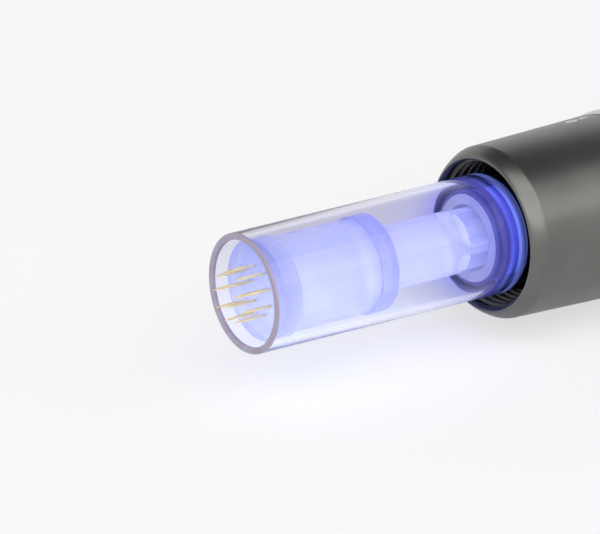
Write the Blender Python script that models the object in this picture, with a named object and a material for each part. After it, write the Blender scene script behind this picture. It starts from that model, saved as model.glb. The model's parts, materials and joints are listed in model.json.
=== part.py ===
"""Microneedling pen with a clear twelve-needle cartridge.

The pen lies along X with its needles towards -X and its charging socket towards +X.
Stations are distances along the pen's axis, measured back from the cartridge's front rim.
"""

import bmesh
import bpy
from math import cos, pi, radians, sin, sqrt
from mathutils import Vector

# Facets round the outer shells, round the inner pieces and round the smallest ones
SHELL_SIDES = 36
INNER_SIDES = 24
SMALL_SIDES = 12
NEEDLE_SIDES = 8

# How far a cutter runs past what it cuts, and the distance at which points merge
OVERRUN = 0.0010
MERGE_DISTANCE = 0.000001
SHARP_ANGLE = radians(30)
MM_PER_METRE = 1000

# Gaps between pieces that are pressed together, slide on each other or seat on a face
FIT_GAP = 0.0001
SLIDE_GAP = 0.0002
SEAT_GAP = 0.0003

# Cartridge shell
SHELL_RIM_RADIUS = 0.0060
SHELL_REAR_RADIUS = 0.00633
SHELL_LENGTH = 0.0303
SHELL_WALL = 0.00067
RIM_ROUNDING = 0.0002
SHELL_STEP_LENGTH = 0.0006
SHELL_SHOULDER_WALL = 0.0017
NECK_STEP = 0.00048
NECK_WALL = 0.0010
NECK_LENGTH = 0.0103
NECK_CHAMFER = 0.0004
SEAT_FLANGE_RISE = 0.00105
SEAT_FLANGE_LENGTH = 0.0009
SEAT_FLANGE_SETBACK = 0.0041
CARTRIDGE_RING_SETBACK = 0.0077
CARTRIDGE_RING_SECTION = 0.0003
RING_SECTION_SIDES = 6

# Bush that guides the needle carrier in the shell
BUSH_FLANGE_RISE = 0.00015
BUSH_FLANGE_LENGTH = 0.0007
BUSH_LENGTH = 0.0059
BUSH_NOSE_CHAMFER = 0.0002

# Needles and the plate that holds them
NEEDLE_RADIUS = 0.00015
NEEDLE_REACH = 0.0019
NEEDLE_TAPER = 0.0012
NEEDLE_TIP_RADIUS = 0.00002
NEEDLE_SEAT_DEPTH = 0.0010
NEEDLE_HOLE_GAP = 0.00006
OUTER_NEEDLES = 9
OUTER_RING_RADIUS = 0.0025
OUTER_RING_START = radians(20)
INNER_NEEDLES = 3
INNER_RING_RADIUS = 0.0011
INNER_RING_START = radians(18)
PLATE_SETBACK = 0.0016
PLATE_THICKNESS = 0.0019
PLATE_CLEARANCE = 0.00023
PLATE_CHAMFER = 0.0002

# Needle carrier, its ribbed stem and the tail that the drive rod pushes
CARRIER_CLEARANCE = 0.00048
CARRIER_LENGTH = 0.0096
CARRIER_DRAFT = 0.00005
CARRIER_WALL = 0.00125
CARRIER_FLOOR = 0.0017
CARRIER_FLANGE_CLEARANCE = 0.00031
CARRIER_FLANGE_LENGTH = 0.0020
STEM_RADIUS = 0.0033
STEM_LENGTH = 0.0103
RIB_THICKNESS = 0.0010
RIB_LENGTH = 0.0085
CORE_RADIUS = 0.0016
TAIL_CLEARANCE = 0.00035
TAIL_THICKNESS = 0.0015
TAIL_CAP = 0.0004
TAIL_CHAMFER = 0.0003

# Return spring of the cartridge
RETURN_COIL_INSET = 0.0004
RETURN_WIRE_RADIUS = 0.000175
RETURN_TURNS = 7
COIL_POINTS = 8

# Cartridge holder, drawn along by the depth dial
HOLDER_WALL = 0.0010
HOLDER_FLANGE_RISE = 0.00033
HOLDER_FLANGE_LENGTH = 0.0028
HOLDER_LENGTH = 0.0144
HOLDER_STEP_HEIGHT = 0.00055
KEY_WIDTH = 0.0020
KEY_HEIGHT = 0.00045
KEY_LENGTH = 0.0060

# Light board inside the holder
LED_COUNT = 4
LED_LENGTH = 0.0006
LED_DEPTH = 0.0008
LED_WIDTH = 0.0012
LED_AIR_GAP = 0.0004
LED_BOARD_THICKNESS = 0.0008

# Depth dial, the turned nose of the pen
DIAL_OVERLAP = 0.0009
DIAL_LENGTH = 0.0169
DIAL_MOUTH_CHAMFER = 0.0002
DIAL_MOUTH_WIDTH = 0.00022
DIAL_LIP_HEIGHT = 0.00121
DIAL_LIP_LENGTH = 0.00155
DIAL_LIP_POWER = 1.6
DIAL_LIP_STEPS = 5
DIAL_REAR_WALL = 0.00122
DIAL_EDGE = 0.0002

# Front core that carries the dial, and the ring that keeps the dial on it
SPIGOT_WALL = 0.00105
SPIGOT_CHAMFER = 0.0003
RING_GROOVE_DEPTH = 0.0003
RING_SETBACK = 0.0012
RING_GROOVE_WIDTH = 0.0007
RING_THICKNESS = 0.0005
RING_OPENING = 0.0020
RING_REACH = 0.0003
TRIM_SEAT_RISE = 0.0003
CORE_TAIL_RISE = 0.00025
CORE_TAIL_SKIRT = 0.0030
CORE_TAIL_WALL = 0.00125
HOLDER_REST_GAP = 0.0008
CORE_WALL_THICKNESS = 0.0022

# Raised bright ring between the dial and the barrel
TRIM_LENGTH = 0.0031
TRIM_WALL = 0.00127
TRIM_BEAD_RISE = 0.00022
TRIM_BEAD_STEPS = 4

# Barrel
BARREL_FRONT_WALL = 0.00095
BARREL_FLARE_LENGTH = 0.0340
BARREL_FLARE_STEPS = 6
BORE_STEP_SETBACK = 0.0010
BARREL_WALL = 0.0013
BARREL_EDGE = 0.0003
REST_FLAT_DEPTH = 0.0003

# Buttons on top of the barrel: the first's place on the board, and the gaps between flanges
POWER_BUTTON_SETBACK = 0.0046
POWER_TO_SPEED_GAP = 0.0024
SPEED_TO_SPEED_GAP = 0.0012
POWER_BUTTON_RADIUS = 0.0034
SPEED_BUTTON_RADIUS = 0.0026
BUTTON_HOLE_GAP = 0.00015
BUTTON_LIP = 0.0008
BUTTON_FLANGE_THICKNESS = 0.0007
BUTTON_RISE = 0.0005
BUTTON_CROWN = 0.0003
BUTTON_TRAVEL = 0.0004
BUTTON_STEM_RADIUS = 0.0015
BUTTON_STEM_LENGTH = 0.0003

# Row of indicator lights behind the buttons
LIGHT_COUNT = 5
LIGHT_PITCH = 0.0025
LIGHT_RADIUS = 0.0006
SPEED_TO_LIGHT_GAP = 0.0031
LIGHT_BAR_WIDTH = 0.0030
LIGHT_BAR_HEIGHT = 0.0012
LIGHT_RECESS = 0.0001

# Drive rod, its bush and its spring
ROD_RADIUS = 0.00125
ROD_HEAD_RADIUS = 0.0024
ROD_HEAD_LENGTH = 0.0015
ROD_BUSH_WALL = 0.0012
ROD_BUSH_FLANGE_RADIUS = 0.0033
ROD_BUSH_FLANGE_LENGTH = 0.0008
ROD_SPRING_COIL_RADIUS = 0.0020
ROD_SPRING_WIRE_RADIUS = 0.00015
ROD_SPRING_TURNS = 3
ROD_SPRING_SPACE = 0.0031
ROD_RUNNING_GAP = 0.0001

# Follower head with its ball, and the face cam that drives it
NEEDLE_STROKE = 0.0024
FOLLOWER_RADIUS = 0.0042
FOLLOWER_HUB_LENGTH = 0.0016
FOLLOWER_BOSS_RADIUS = 0.00145
FOLLOWER_SOCKET_DEPTH = 0.0013
BALL_RADIUS = 0.0010
BALL_OFFSET = 0.0027
BALL_PROUD = 0.0011
BALL_RINGS = 6
CAM_RADIUS = 0.0042
CAM_LOW_THICKNESS = 0.0018
CAM_HUB_RADIUS = 0.0024
CAM_HUB_LENGTH = 0.0018
CAM_SHAFT_COVER = 0.0009
CAM_CENTRE_RADIUS = 0.0013
CAM_CENTRE_SINK = 0.0002

# Motor, its shaft and its mount
SHAFT_RADIUS = 0.00075
SHAFT_GAP = 0.00005
MOTOR_RADIUS = 0.0075
MOTOR_LENGTH = 0.0200
MOTOR_BOSS_RADIUS = 0.0030
MOTOR_BOSS_LENGTH = 0.0010
MOTOR_BORE_RADIUS = 0.00095
MOTOR_EDGE = 0.0005
SHAFT_SETBACK = 0.0020
END_BELL_LENGTH = 0.0015
END_BELL_BOSS_RADIUS = 0.0022
END_BELL_BOSS_LENGTH = 0.0009
MOUNT_WALL = 0.0022
MOUNT_HUB_GAP = 0.0007
MOUNT_SLEEVE_LENGTH = 0.0103
SCREW_OFFSET = 0.0050
SCREW_HEAD_RADIUS = 0.0009
SCREW_HEAD_LENGTH = 0.0006
SCREW_RADIUS = 0.00045
SCREW_LENGTH = 0.0038
SCREW_HOLE_GAP = 0.0001

# Cell, its tray and its contacts
CELL_RADIUS = 0.0070
CELL_LENGTH = 0.0480
CELL_DROP = 0.0022
CELL_BUTTON_RADIUS = 0.0025
CELL_BUTTON_LENGTH = 0.0008
CELL_EDGE = 0.0005
TRAY_SETBACK = 0.0011
TRAY_END_WALL = 0.0015
TRAY_CELL_GAP = 0.0001
TRAY_FLOOR = 0.0007
TRAY_END_SPACE = 0.0040
CONTACT_SPACE = 0.0025
CONTACT_PLATE_RADIUS = 0.0040
CONTACT_THICKNESS = 0.0003
CONTACT_TIP_RADIUS = 0.0012

# Main circuit board and the switches under the buttons
BOARD_THICKNESS = 0.0008
BOARD_LENGTH = 0.0500
BOARD_SETBACK = 0.0024
SWITCH_WIDTH = 0.0045
SWITCH_HEIGHT = 0.0012
SWITCH_TIP_RADIUS = 0.0010
SWITCH_TIP_GAP = 0.0001

# Rear cap, its seal and the charging socket
CAP_LENGTH = 0.0117
CAP_ROUNDING = 0.0015
CAP_ROUNDING_STEPS = 3
CAP_SPIGOT_LENGTH = 0.0060
CAP_WALL = 0.0018
CAP_END_WALL = 0.0030
CAP_RING_SECTION = 0.0004
RING_GROOVE_GAP = 0.00005
CAP_RING_SETBACK = 0.0030
SOCKET_HOLE_RADIUS = 0.0040
SOCKET_BORE_RADIUS = 0.00275
SOCKET_BORE_DEPTH = 0.0090
SOCKET_FLOOR = 0.0012
SOCKET_FLANGE_RADIUS = 0.0052
SOCKET_FLANGE_LENGTH = 0.0015
SOCKET_RECESS = 0.0003
SOCKET_PIN_RADIUS = 0.00105
SOCKET_PIN_LENGTH = 0.0075

# Cartridge: radii and stations worked out from the sizes above
SHELL_INNER_RIM = SHELL_RIM_RADIUS - SHELL_WALL
SHELL_INNER_REAR = SHELL_REAR_RADIUS - SHELL_WALL
NECK_RADIUS = SHELL_REAR_RADIUS - NECK_STEP
NECK_BORE = NECK_RADIUS - NECK_WALL
SEAT_FLANGE_RADIUS = NECK_RADIUS + SEAT_FLANGE_RISE
BUSH_FLANGE_RADIUS = NECK_BORE + BUSH_FLANGE_RISE
PLATE_RADIUS = SHELL_INNER_RIM - PLATE_CLEARANCE
CARRIER_RADIUS = SHELL_INNER_RIM - CARRIER_CLEARANCE
CARRIER_FLANGE_RADIUS = SHELL_INNER_RIM - CARRIER_FLANGE_CLEARANCE
CARRIER_CAVITY_RADIUS = CARRIER_RADIUS - CARRIER_WALL
TAIL_RADIUS = NECK_BORE - TAIL_CLEARANCE
RETURN_COIL_RADIUS = TAIL_RADIUS - RETURN_COIL_INSET
NECK_REAR = SHELL_LENGTH + NECK_LENGTH
SHELL_SHOULDER = SHELL_LENGTH - SHELL_SHOULDER_WALL
SEAT_FLANGE_FRONT = SHELL_LENGTH + SEAT_FLANGE_SETBACK
SEAT_FLANGE_REAR = SEAT_FLANGE_FRONT + SEAT_FLANGE_LENGTH
CARTRIDGE_RING_STATION = SHELL_LENGTH + CARTRIDGE_RING_SETBACK
BUSH_FLANGE_REAR = SHELL_SHOULDER - SEAT_GAP
BUSH_FRONT = BUSH_FLANGE_REAR - BUSH_FLANGE_LENGTH
BUSH_REAR = BUSH_FRONT + BUSH_LENGTH
BUSH_BORE = STEM_RADIUS + SLIDE_GAP
PLATE_REAR = PLATE_SETBACK + PLATE_THICKNESS
CARRIER_FRONT = PLATE_REAR + FIT_GAP
CARRIER_REAR = CARRIER_FRONT + CARRIER_LENGTH
CARRIER_FLANGE_REAR = CARRIER_REAR + CARRIER_FLANGE_LENGTH
STEM_REAR = CARRIER_FLANGE_REAR + STEM_LENGTH
RIBS_REAR = STEM_REAR + RIB_LENGTH
TAIL_FRONT = NECK_REAR + SEAT_GAP
TAIL_REAR = TAIL_FRONT + TAIL_THICKNESS
CORE_REAR = TAIL_REAR - TAIL_CAP - FIT_GAP
ROD_HEAD_FRONT = TAIL_REAR + SEAT_GAP
ROD_HEAD_REAR = ROD_HEAD_FRONT + ROD_HEAD_LENGTH

# Holder, light board and depth dial
HOLDER_BORE = NECK_RADIUS + SLIDE_GAP
HOLDER_RADIUS = HOLDER_BORE + HOLDER_WALL
HOLDER_FLANGE_RADIUS = HOLDER_RADIUS + HOLDER_FLANGE_RISE
HOLDER_STEP_RADIUS = HOLDER_BORE - HOLDER_STEP_HEIGHT
HOLDER_FRONT = SEAT_FLANGE_REAR + SEAT_GAP
HOLDER_FLANGE_REAR = HOLDER_FRONT + HOLDER_FLANGE_LENGTH
HOLDER_REAR = HOLDER_FRONT + HOLDER_LENGTH
KEY_RADIUS = HOLDER_RADIUS + KEY_HEIGHT
LED_FRONT = NECK_REAR + LED_AIR_GAP
LED_REAR = LED_FRONT + LED_LENGTH
LED_BOARD_FRONT = LED_REAR + FIT_GAP
LED_BOARD_REAR = LED_BOARD_FRONT + LED_BOARD_THICKNESS
LED_BOARD_BORE = TAIL_RADIUS + SEAT_GAP
LED_BOARD_RADIUS = HOLDER_BORE - FIT_GAP
HOLDER_STEP = LED_BOARD_REAR + FIT_GAP
DIAL_FRONT = SHELL_LENGTH - DIAL_OVERLAP
DIAL_BORE = HOLDER_FLANGE_RADIUS + SEAT_GAP
DIAL_LIP_START_RADIUS = DIAL_BORE + DIAL_MOUTH_WIDTH
DIAL_LIP_RADIUS = DIAL_LIP_START_RADIUS + DIAL_LIP_HEIGHT
DIAL_BORE_REAR = HOLDER_FLANGE_REAR + SLIDE_GAP
DIAL_REAR = DIAL_FRONT + DIAL_LENGTH

# Front core, trim ring and the front of the barrel
SPIGOT_BORE = HOLDER_RADIUS + SLIDE_GAP
SPIGOT_RADIUS = SPIGOT_BORE + SPIGOT_WALL
SPIGOT_FRONT = DIAL_BORE_REAR + SEAT_GAP
DIAL_COUNTERBORE = SPIGOT_RADIUS + SLIDE_GAP
DIAL_REAR_RADIUS = DIAL_COUNTERBORE + DIAL_REAR_WALL
RING_STATION = DIAL_REAR - RING_SETBACK
SPIGOT_GROOVE_RADIUS = SPIGOT_RADIUS - RING_GROOVE_DEPTH
RING_RADIUS = DIAL_COUNTERBORE + RING_REACH
DIAL_GROOVE_RADIUS = RING_RADIUS + SLIDE_GAP
TRIM_SEAT_FRONT = DIAL_REAR + SLIDE_GAP
TRIM_SEAT_RADIUS = SPIGOT_RADIUS + TRIM_SEAT_RISE
TRIM_RADIUS = TRIM_SEAT_RADIUS + FIT_GAP + TRIM_WALL
CORE_TAIL_RADIUS = TRIM_SEAT_RADIUS + CORE_TAIL_RISE
TRIM_FRONT = DIAL_REAR + SEAT_GAP
TRIM_REAR = TRIM_FRONT + TRIM_LENGTH
BARREL_FRONT = TRIM_REAR + SEAT_GAP
BARREL_FRONT_BORE = CORE_TAIL_RADIUS + FIT_GAP
BARREL_FRONT_RADIUS = BARREL_FRONT_BORE + BARREL_FRONT_WALL
CORE_TAIL_FRONT = BARREL_FRONT - FIT_GAP
CORE_TAIL_BORE = CORE_TAIL_RADIUS - CORE_TAIL_WALL
CORE_WALL_FRONT = HOLDER_REAR + HOLDER_REST_GAP
CORE_WALL_REAR = CORE_WALL_FRONT + CORE_WALL_THICKNESS
CORE_TAIL_REAR = CORE_WALL_REAR + CORE_TAIL_SKIRT

# Drive rod, follower and cam
ROD_BUSH_BORE = ROD_RADIUS + ROD_RUNNING_GAP
ROD_BUSH_RADIUS = ROD_BUSH_BORE + ROD_BUSH_WALL
ROD_BUSH_FLANGE_FRONT = CORE_WALL_REAR + FIT_GAP
ROD_BUSH_REAR = ROD_BUSH_FLANGE_FRONT + ROD_BUSH_FLANGE_LENGTH
FOLLOWER_FRONT = ROD_BUSH_REAR + ROD_SPRING_SPACE
FOLLOWER_HUB_REAR = FOLLOWER_FRONT + FOLLOWER_HUB_LENGTH
FOLLOWER_REAR = FOLLOWER_HUB_REAR + NEEDLE_STROKE + SLIDE_GAP - BALL_PROUD - SEAT_GAP
FOLLOWER_SOCKET_REAR = FOLLOWER_FRONT + FOLLOWER_SOCKET_DEPTH
ROD_REAR = FOLLOWER_SOCKET_REAR - FIT_GAP
BALL_STATION = FOLLOWER_REAR + BALL_PROUD - BALL_RADIUS
CAM_HIGH = BALL_STATION + BALL_RADIUS + SEAT_GAP
CAM_LOW = CAM_HIGH + NEEDLE_STROKE
CAM_DISC_REAR = CAM_LOW + CAM_LOW_THICKNESS
CAM_REAR = CAM_DISC_REAR + CAM_HUB_LENGTH
SHAFT_FRONT = CAM_LOW + CAM_SHAFT_COVER + FIT_GAP

# Motor, mount, tray and board
MOUNT_FRONT = CAM_REAR + MOUNT_HUB_GAP
MOUNT_WALL_REAR = MOUNT_FRONT + MOUNT_WALL
MOUNT_REAR = MOUNT_WALL_REAR + MOUNT_SLEEVE_LENGTH
MOTOR_FRONT = MOUNT_WALL_REAR + SEAT_GAP
MOTOR_REAR = MOTOR_FRONT + MOTOR_LENGTH
SHAFT_REAR = MOTOR_REAR - SHAFT_SETBACK
END_BELL_FRONT = MOTOR_REAR + FIT_GAP
END_BELL_REAR = END_BELL_FRONT + END_BELL_LENGTH
END_BELL_BOSS_REAR = END_BELL_REAR + END_BELL_BOSS_LENGTH
BARREL_BORE_STEP = MOUNT_REAR + BORE_STEP_SETBACK
TRAY_FRONT = END_BELL_BOSS_REAR + TRAY_SETBACK
TRAY_POCKET_FRONT = TRAY_FRONT + TRAY_END_WALL
CELL_FRONT = TRAY_POCKET_FRONT + CONTACT_SPACE
CELL_REAR = CELL_FRONT + CELL_LENGTH
TRAY_POCKET_REAR = CELL_REAR + CONTACT_SPACE
TRAY_REAR = TRAY_POCKET_REAR + TRAY_END_WALL
TRAY_CHANNEL_RADIUS = CELL_RADIUS + TRAY_CELL_GAP
TRAY_RADIUS = TRAY_CHANNEL_RADIUS + CELL_DROP + TRAY_FLOOR
BARREL_BORE = TRAY_RADIUS + SLIDE_GAP
BARREL_RADIUS = BARREL_BORE + BARREL_WALL
BARREL_REAR = TRAY_REAR + TRAY_END_SPACE + CAP_SPIGOT_LENGTH
TRAY_TOP = TRAY_CHANNEL_RADIUS - CELL_DROP
BOARD_BOTTOM = TRAY_TOP + SEAT_GAP
BOARD_TOP = BOARD_BOTTOM + BOARD_THICKNESS
BOARD_FRONT = TRAY_FRONT + BOARD_SETBACK
BOARD_REAR = BOARD_FRONT + BOARD_LENGTH
BOARD_HALF_WIDTH = sqrt(TRAY_RADIUS ** 2 - BOARD_TOP ** 2) - SLIDE_GAP
POWER_STATION = BOARD_FRONT + POWER_BUTTON_SETBACK
POWER_FLANGE_RADIUS = POWER_BUTTON_RADIUS + BUTTON_LIP
SPEED_FLANGE_RADIUS = SPEED_BUTTON_RADIUS + BUTTON_LIP
SPEED_UP_STATION = POWER_STATION + POWER_FLANGE_RADIUS + POWER_TO_SPEED_GAP + SPEED_FLANGE_RADIUS
SPEED_DOWN_STATION = SPEED_UP_STATION + 2 * SPEED_FLANGE_RADIUS + SPEED_TO_SPEED_GAP
LIGHT_BAR_FRONT = SPEED_DOWN_STATION + SPEED_FLANGE_RADIUS + SPEED_TO_LIGHT_GAP
FIRST_LIGHT_STATION = LIGHT_BAR_FRONT + LIGHT_BAR_WIDTH / 2

# Rear cap and charging socket
CAP_FRONT = BARREL_REAR + SEAT_GAP
CAP_REAR = CAP_FRONT + CAP_LENGTH
CAP_SPIGOT_FRONT = BARREL_REAR - CAP_SPIGOT_LENGTH
CAP_SPIGOT_RADIUS = BARREL_BORE - FIT_GAP
CAP_BORE = CAP_SPIGOT_RADIUS - CAP_WALL
CAP_WALL_FRONT = CAP_REAR - CAP_END_WALL
CAP_RING_STATION = CAP_SPIGOT_FRONT + CAP_RING_SETBACK
SOCKET_RADIUS = SOCKET_HOLE_RADIUS - FIT_GAP
SOCKET_REAR = CAP_REAR - SOCKET_RECESS
SOCKET_BORE_FRONT = SOCKET_REAR - SOCKET_BORE_DEPTH
SOCKET_FRONT = SOCKET_BORE_FRONT - SOCKET_FLOOR
SOCKET_FLANGE_REAR = CAP_WALL_FRONT - SEAT_GAP
SOCKET_FLANGE_FRONT = SOCKET_FLANGE_REAR - SOCKET_FLANGE_LENGTH

# Place of the pen: centred along X and resting on the flat under its barrel
PEN_MIDDLE = (CAP_REAR - NEEDLE_REACH) / 2
AXIS_HEIGHT = BARREL_RADIUS - REST_FLAT_DEPTH

# Finishes: colour, roughness, metallic and how far light passes through
SATIN_GUNMETAL = ((0.235, 0.245, 0.265), 0.34, 0.85, 0.0)
BRIGHT_RING = ((0.78, 0.80, 0.84), 0.18, 1.0, 0.0)
CLEAR_PLASTIC = ((0.86, 0.90, 0.98), 0.06, 0.0, 0.9)
BLUE_PLASTIC = ((0.16, 0.34, 0.86), 0.25, 0.0, 0.5)
GREY_PLASTIC = ((0.62, 0.63, 0.68), 0.45, 0.0, 0.0)
GOLD_STEEL = ((0.86, 0.62, 0.28), 0.20, 1.0, 0.0)
SPRING_STEEL = ((0.70, 0.71, 0.73), 0.25, 1.0, 0.0)
PLAIN_STEEL = ((0.60, 0.61, 0.63), 0.32, 1.0, 0.0)
BLACK_RUBBER = ((0.03, 0.03, 0.035), 0.70, 0.0, 0.0)
BLACK_PLASTIC = ((0.05, 0.05, 0.055), 0.45, 0.0, 0.0)
WHITE_PLASTIC = ((0.88, 0.88, 0.87), 0.40, 0.0, 0.0)
BRASS = ((0.78, 0.60, 0.30), 0.30, 1.0, 0.0)
BOARD_GREEN = ((0.04, 0.20, 0.11), 0.50, 0.0, 0.0)
LIGHT_BLUE = ((0.25, 0.45, 1.0), 0.30, 0.0, 0.4)
CELL_WRAP = ((0.10, 0.25, 0.45), 0.35, 0.0, 0.0)


def clear_scene():
    for old in list(bpy.data.objects):
        bpy.data.objects.remove(old, do_unlink=True)


def frame_empty(name, parent=None, place=(0, 0, 0)):
    """An empty that stands on a joint's axis and carries one body's pieces."""
    empty = bpy.data.objects.new(name, None)
    empty.empty_display_size = BARREL_RADIUS
    empty.location = place
    empty.parent = parent
    bpy.context.scene.collection.objects.link(empty)
    return empty


def paint(piece, finish):
    colour, roughness, metallic, clearness = finish
    surface = bpy.data.materials.new(piece.name + "_finish")
    surface.use_nodes = True
    shader = surface.node_tree.nodes["Principled BSDF"]
    shader.inputs["Base Color"].default_value = (*colour, 1)
    shader.inputs["Roughness"].default_value = roughness
    shader.inputs["Metallic"].default_value = metallic
    shader.inputs["Transmission Weight"].default_value = clearness
    surface.diffuse_color = (*colour, 1)
    piece.data.materials.append(surface)


def add_piece(name, shape, body, finish=None, place=(0, 0, 0)):
    """Turn a bmesh into an object on its body; without a finish it is a hidden cutting tool."""
    bmesh.ops.remove_doubles(shape, verts=shape.verts, dist=MERGE_DISTANCE)
    bmesh.ops.recalc_face_normals(shape, faces=shape.faces)
    mesh = bpy.data.meshes.new(name)
    shape.to_mesh(mesh)
    shape.free()
    mesh.shade_smooth()
    mesh.set_sharp_from_angle(angle=SHARP_ANGLE)
    piece = bpy.data.objects.new(name, mesh)
    piece.parent = body
    piece.location = place
    bpy.context.scene.collection.objects.link(piece)
    if finish:
        paint(piece, finish)
    else:
        piece.hide_render = True
        piece.display_type = 'WIRE'
    return piece


def turned(name, outline, body, finish=None, sides=INNER_SIDES, place=(0, 0, 0), upright=False):
    """Turn (station, radius) points about X, or about Z when upright, into one closed solid.

    A facet, not a corner, faces straight up and straight down.
    """
    shape = bmesh.new()
    half_step = pi / sides
    corners = []
    for station, radius in outline:
        across, outward = radius * sin(half_step), radius * cos(half_step)
        point = (across, outward, station) if upright else (station, across, outward)
        corners.append(shape.verts.new(point))
    edges = [shape.edges.new(pair) for pair in zip(corners, corners[1:])]
    if outline[0][1] > 0:
        edges.append(shape.edges.new((corners[-1], corners[0])))
    axis = (0, 0, 1) if upright else (1, 0, 0)
    bmesh.ops.spin(shape, geom=corners + edges, cent=(0, 0, 0), axis=axis, angle=2 * pi, steps=sides)
    return add_piece(name, shape, body, finish, place)


def round_bar(front, rear, radius):
    """The outline of a plain round bar."""
    return [(front, 0), (front, radius), (rear, radius), (rear, 0)]


def round_sleeve(front, rear, bore, radius):
    """The outline of a plain round sleeve."""
    return [(front, bore), (front, radius), (rear, radius), (rear, bore)]


def block(name, low, high, body, finish=None, turn=0):
    """A box from its lowest to its highest corner, turned about the pen's axis."""
    shape = bmesh.new()
    bmesh.ops.create_cube(shape, size=1)
    low, high = Vector(low), Vector(high)
    for corner in shape.verts:
        corner.co = (low + high) / 2 + corner.co * (high - low)
    piece = add_piece(name, shape, body, finish)
    piece.rotation_euler.x = turn
    return piece


def ball(name, radius, body, finish=None, place=(0, 0, 0)):
    shape = bmesh.new()
    bmesh.ops.create_uvsphere(shape, u_segments=SMALL_SIDES, v_segments=BALL_RINGS, radius=radius)
    return add_piece(name, shape, body, finish, place)


def combine(piece, operation, tools):
    for tool in tools:
        step = piece.modifiers.new(operation.lower(), 'BOOLEAN')
        step.operation = operation
        step.solver = 'EXACT'
        step.object = tool


def cut(piece, *tools):
    combine(piece, 'DIFFERENCE', tools)


def join(piece, *tools):
    combine(piece, 'UNION', tools)


def ring_circle(station, ring_radius, section_radius):
    """The round section of a seal ring, as points of a closed outline."""
    points = []
    for corner in range(RING_SECTION_SIDES):
        angle = 2 * pi * (corner + 1 / 2) / RING_SECTION_SIDES
        points.append((station + section_radius * cos(angle), ring_radius - section_radius * sin(angle)))
    return points


def coil(name, front, rear, coil_radius, wire_radius, turns, body):
    """A compression spring as one unbroken wire, and a print of the least gap between its turns."""
    curve = bpy.data.curves.new(name, 'CURVE')
    curve.dimensions = '3D'
    curve.bevel_depth = wire_radius
    curve.bevel_resolution = 1
    curve.use_fill_caps = True
    steps = turns * COIL_POINTS
    wire = curve.splines.new('POLY')
    wire.points.add(steps)
    places = []
    for step, point in enumerate(wire.points):
        angle = 2 * pi * step / COIL_POINTS
        station = front + (rear - front) * step / steps
        places.append(Vector((station, coil_radius * sin(angle), coil_radius * cos(angle))))
        point.co = (*places[-1], 1)
    spring = bpy.data.objects.new(name, curve)
    spring.parent = body
    bpy.context.scene.collection.objects.link(spring)
    paint(spring, SPRING_STEEL)
    nearest = min((places[first] - places[second]).length
                  for first in range(len(places))
                  for second in range(first + COIL_POINTS // 2, len(places)))
    print(name, "least gap between turns, mm:", round((nearest - 2 * wire_radius) * MM_PER_METRE, 3))
    return spring


def needle_places():
    """Every needle's place across and up: an outer ring and a smaller one inside it."""
    outer = [(OUTER_RING_RADIUS, OUTER_RING_START + 2 * pi * index / OUTER_NEEDLES)
             for index in range(OUTER_NEEDLES)]
    inner = [(INNER_RING_RADIUS, INNER_RING_START + 2 * pi * index / INNER_NEEDLES)
             for index in range(INNER_NEEDLES)]
    return [(-radius * cos(angle), radius * sin(angle)) for radius, angle in outer + inner]


def make_cartridge_shell(body):
    """Clear tapered tube whose rear neck plugs into the holder."""
    groove = CARTRIDGE_RING_SECTION + RING_GROOVE_GAP
    groove_radius = HOLDER_BORE - RING_GROOVE_GAP - 2 * groove
    outline = [
        (RIM_ROUNDING, SHELL_INNER_RIM),
        (0, SHELL_INNER_RIM + RIM_ROUNDING),
        (0, SHELL_RIM_RADIUS - RIM_ROUNDING),
        (RIM_ROUNDING, SHELL_RIM_RADIUS),
        (SHELL_LENGTH, SHELL_REAR_RADIUS),
        (SHELL_LENGTH + SHELL_STEP_LENGTH, NECK_RADIUS),
        (SEAT_FLANGE_FRONT, NECK_RADIUS),
        (SEAT_FLANGE_FRONT, SEAT_FLANGE_RADIUS),
        (SEAT_FLANGE_REAR, SEAT_FLANGE_RADIUS),
        (SEAT_FLANGE_REAR, NECK_RADIUS),
        (CARTRIDGE_RING_STATION - groove, NECK_RADIUS),
        (CARTRIDGE_RING_STATION - groove, groove_radius),
        (CARTRIDGE_RING_STATION + groove, groove_radius),
        (CARTRIDGE_RING_STATION + groove, NECK_RADIUS),
        (NECK_REAR - NECK_CHAMFER, NECK_RADIUS),
        (NECK_REAR, NECK_RADIUS - NECK_CHAMFER),
        (NECK_REAR, NECK_BORE),
        (SHELL_SHOULDER, NECK_BORE),
        (SHELL_SHOULDER, SHELL_INNER_REAR),
    ]
    turned("cartridge_shell", outline, body, CLEAR_PLASTIC, SHELL_SIDES)


def make_cartridge_ring(body):
    ring_radius = HOLDER_BORE - 2 * RING_GROOVE_GAP - CARTRIDGE_RING_SECTION
    section = ring_circle(CARTRIDGE_RING_STATION, ring_radius, CARTRIDGE_RING_SECTION)
    turned("cartridge_o_ring", section, body, BLACK_RUBBER)


def make_seal_bush(body):
    """Flanged bush in the shell's neck that guides the needle carrier's stem."""
    outline = [
        (BUSH_FRONT, BUSH_BORE),
        (BUSH_FRONT, BUSH_FLANGE_RADIUS - BUSH_NOSE_CHAMFER),
        (BUSH_FRONT + BUSH_NOSE_CHAMFER, BUSH_FLANGE_RADIUS),
        (BUSH_FLANGE_REAR, BUSH_FLANGE_RADIUS),
        (BUSH_FLANGE_REAR, NECK_BORE - FIT_GAP),
        (BUSH_REAR, NECK_BORE - FIT_GAP),
        (BUSH_REAR, BUSH_BORE),
    ]
    turned("seal_bush", outline, body, GREY_PLASTIC)


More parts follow.
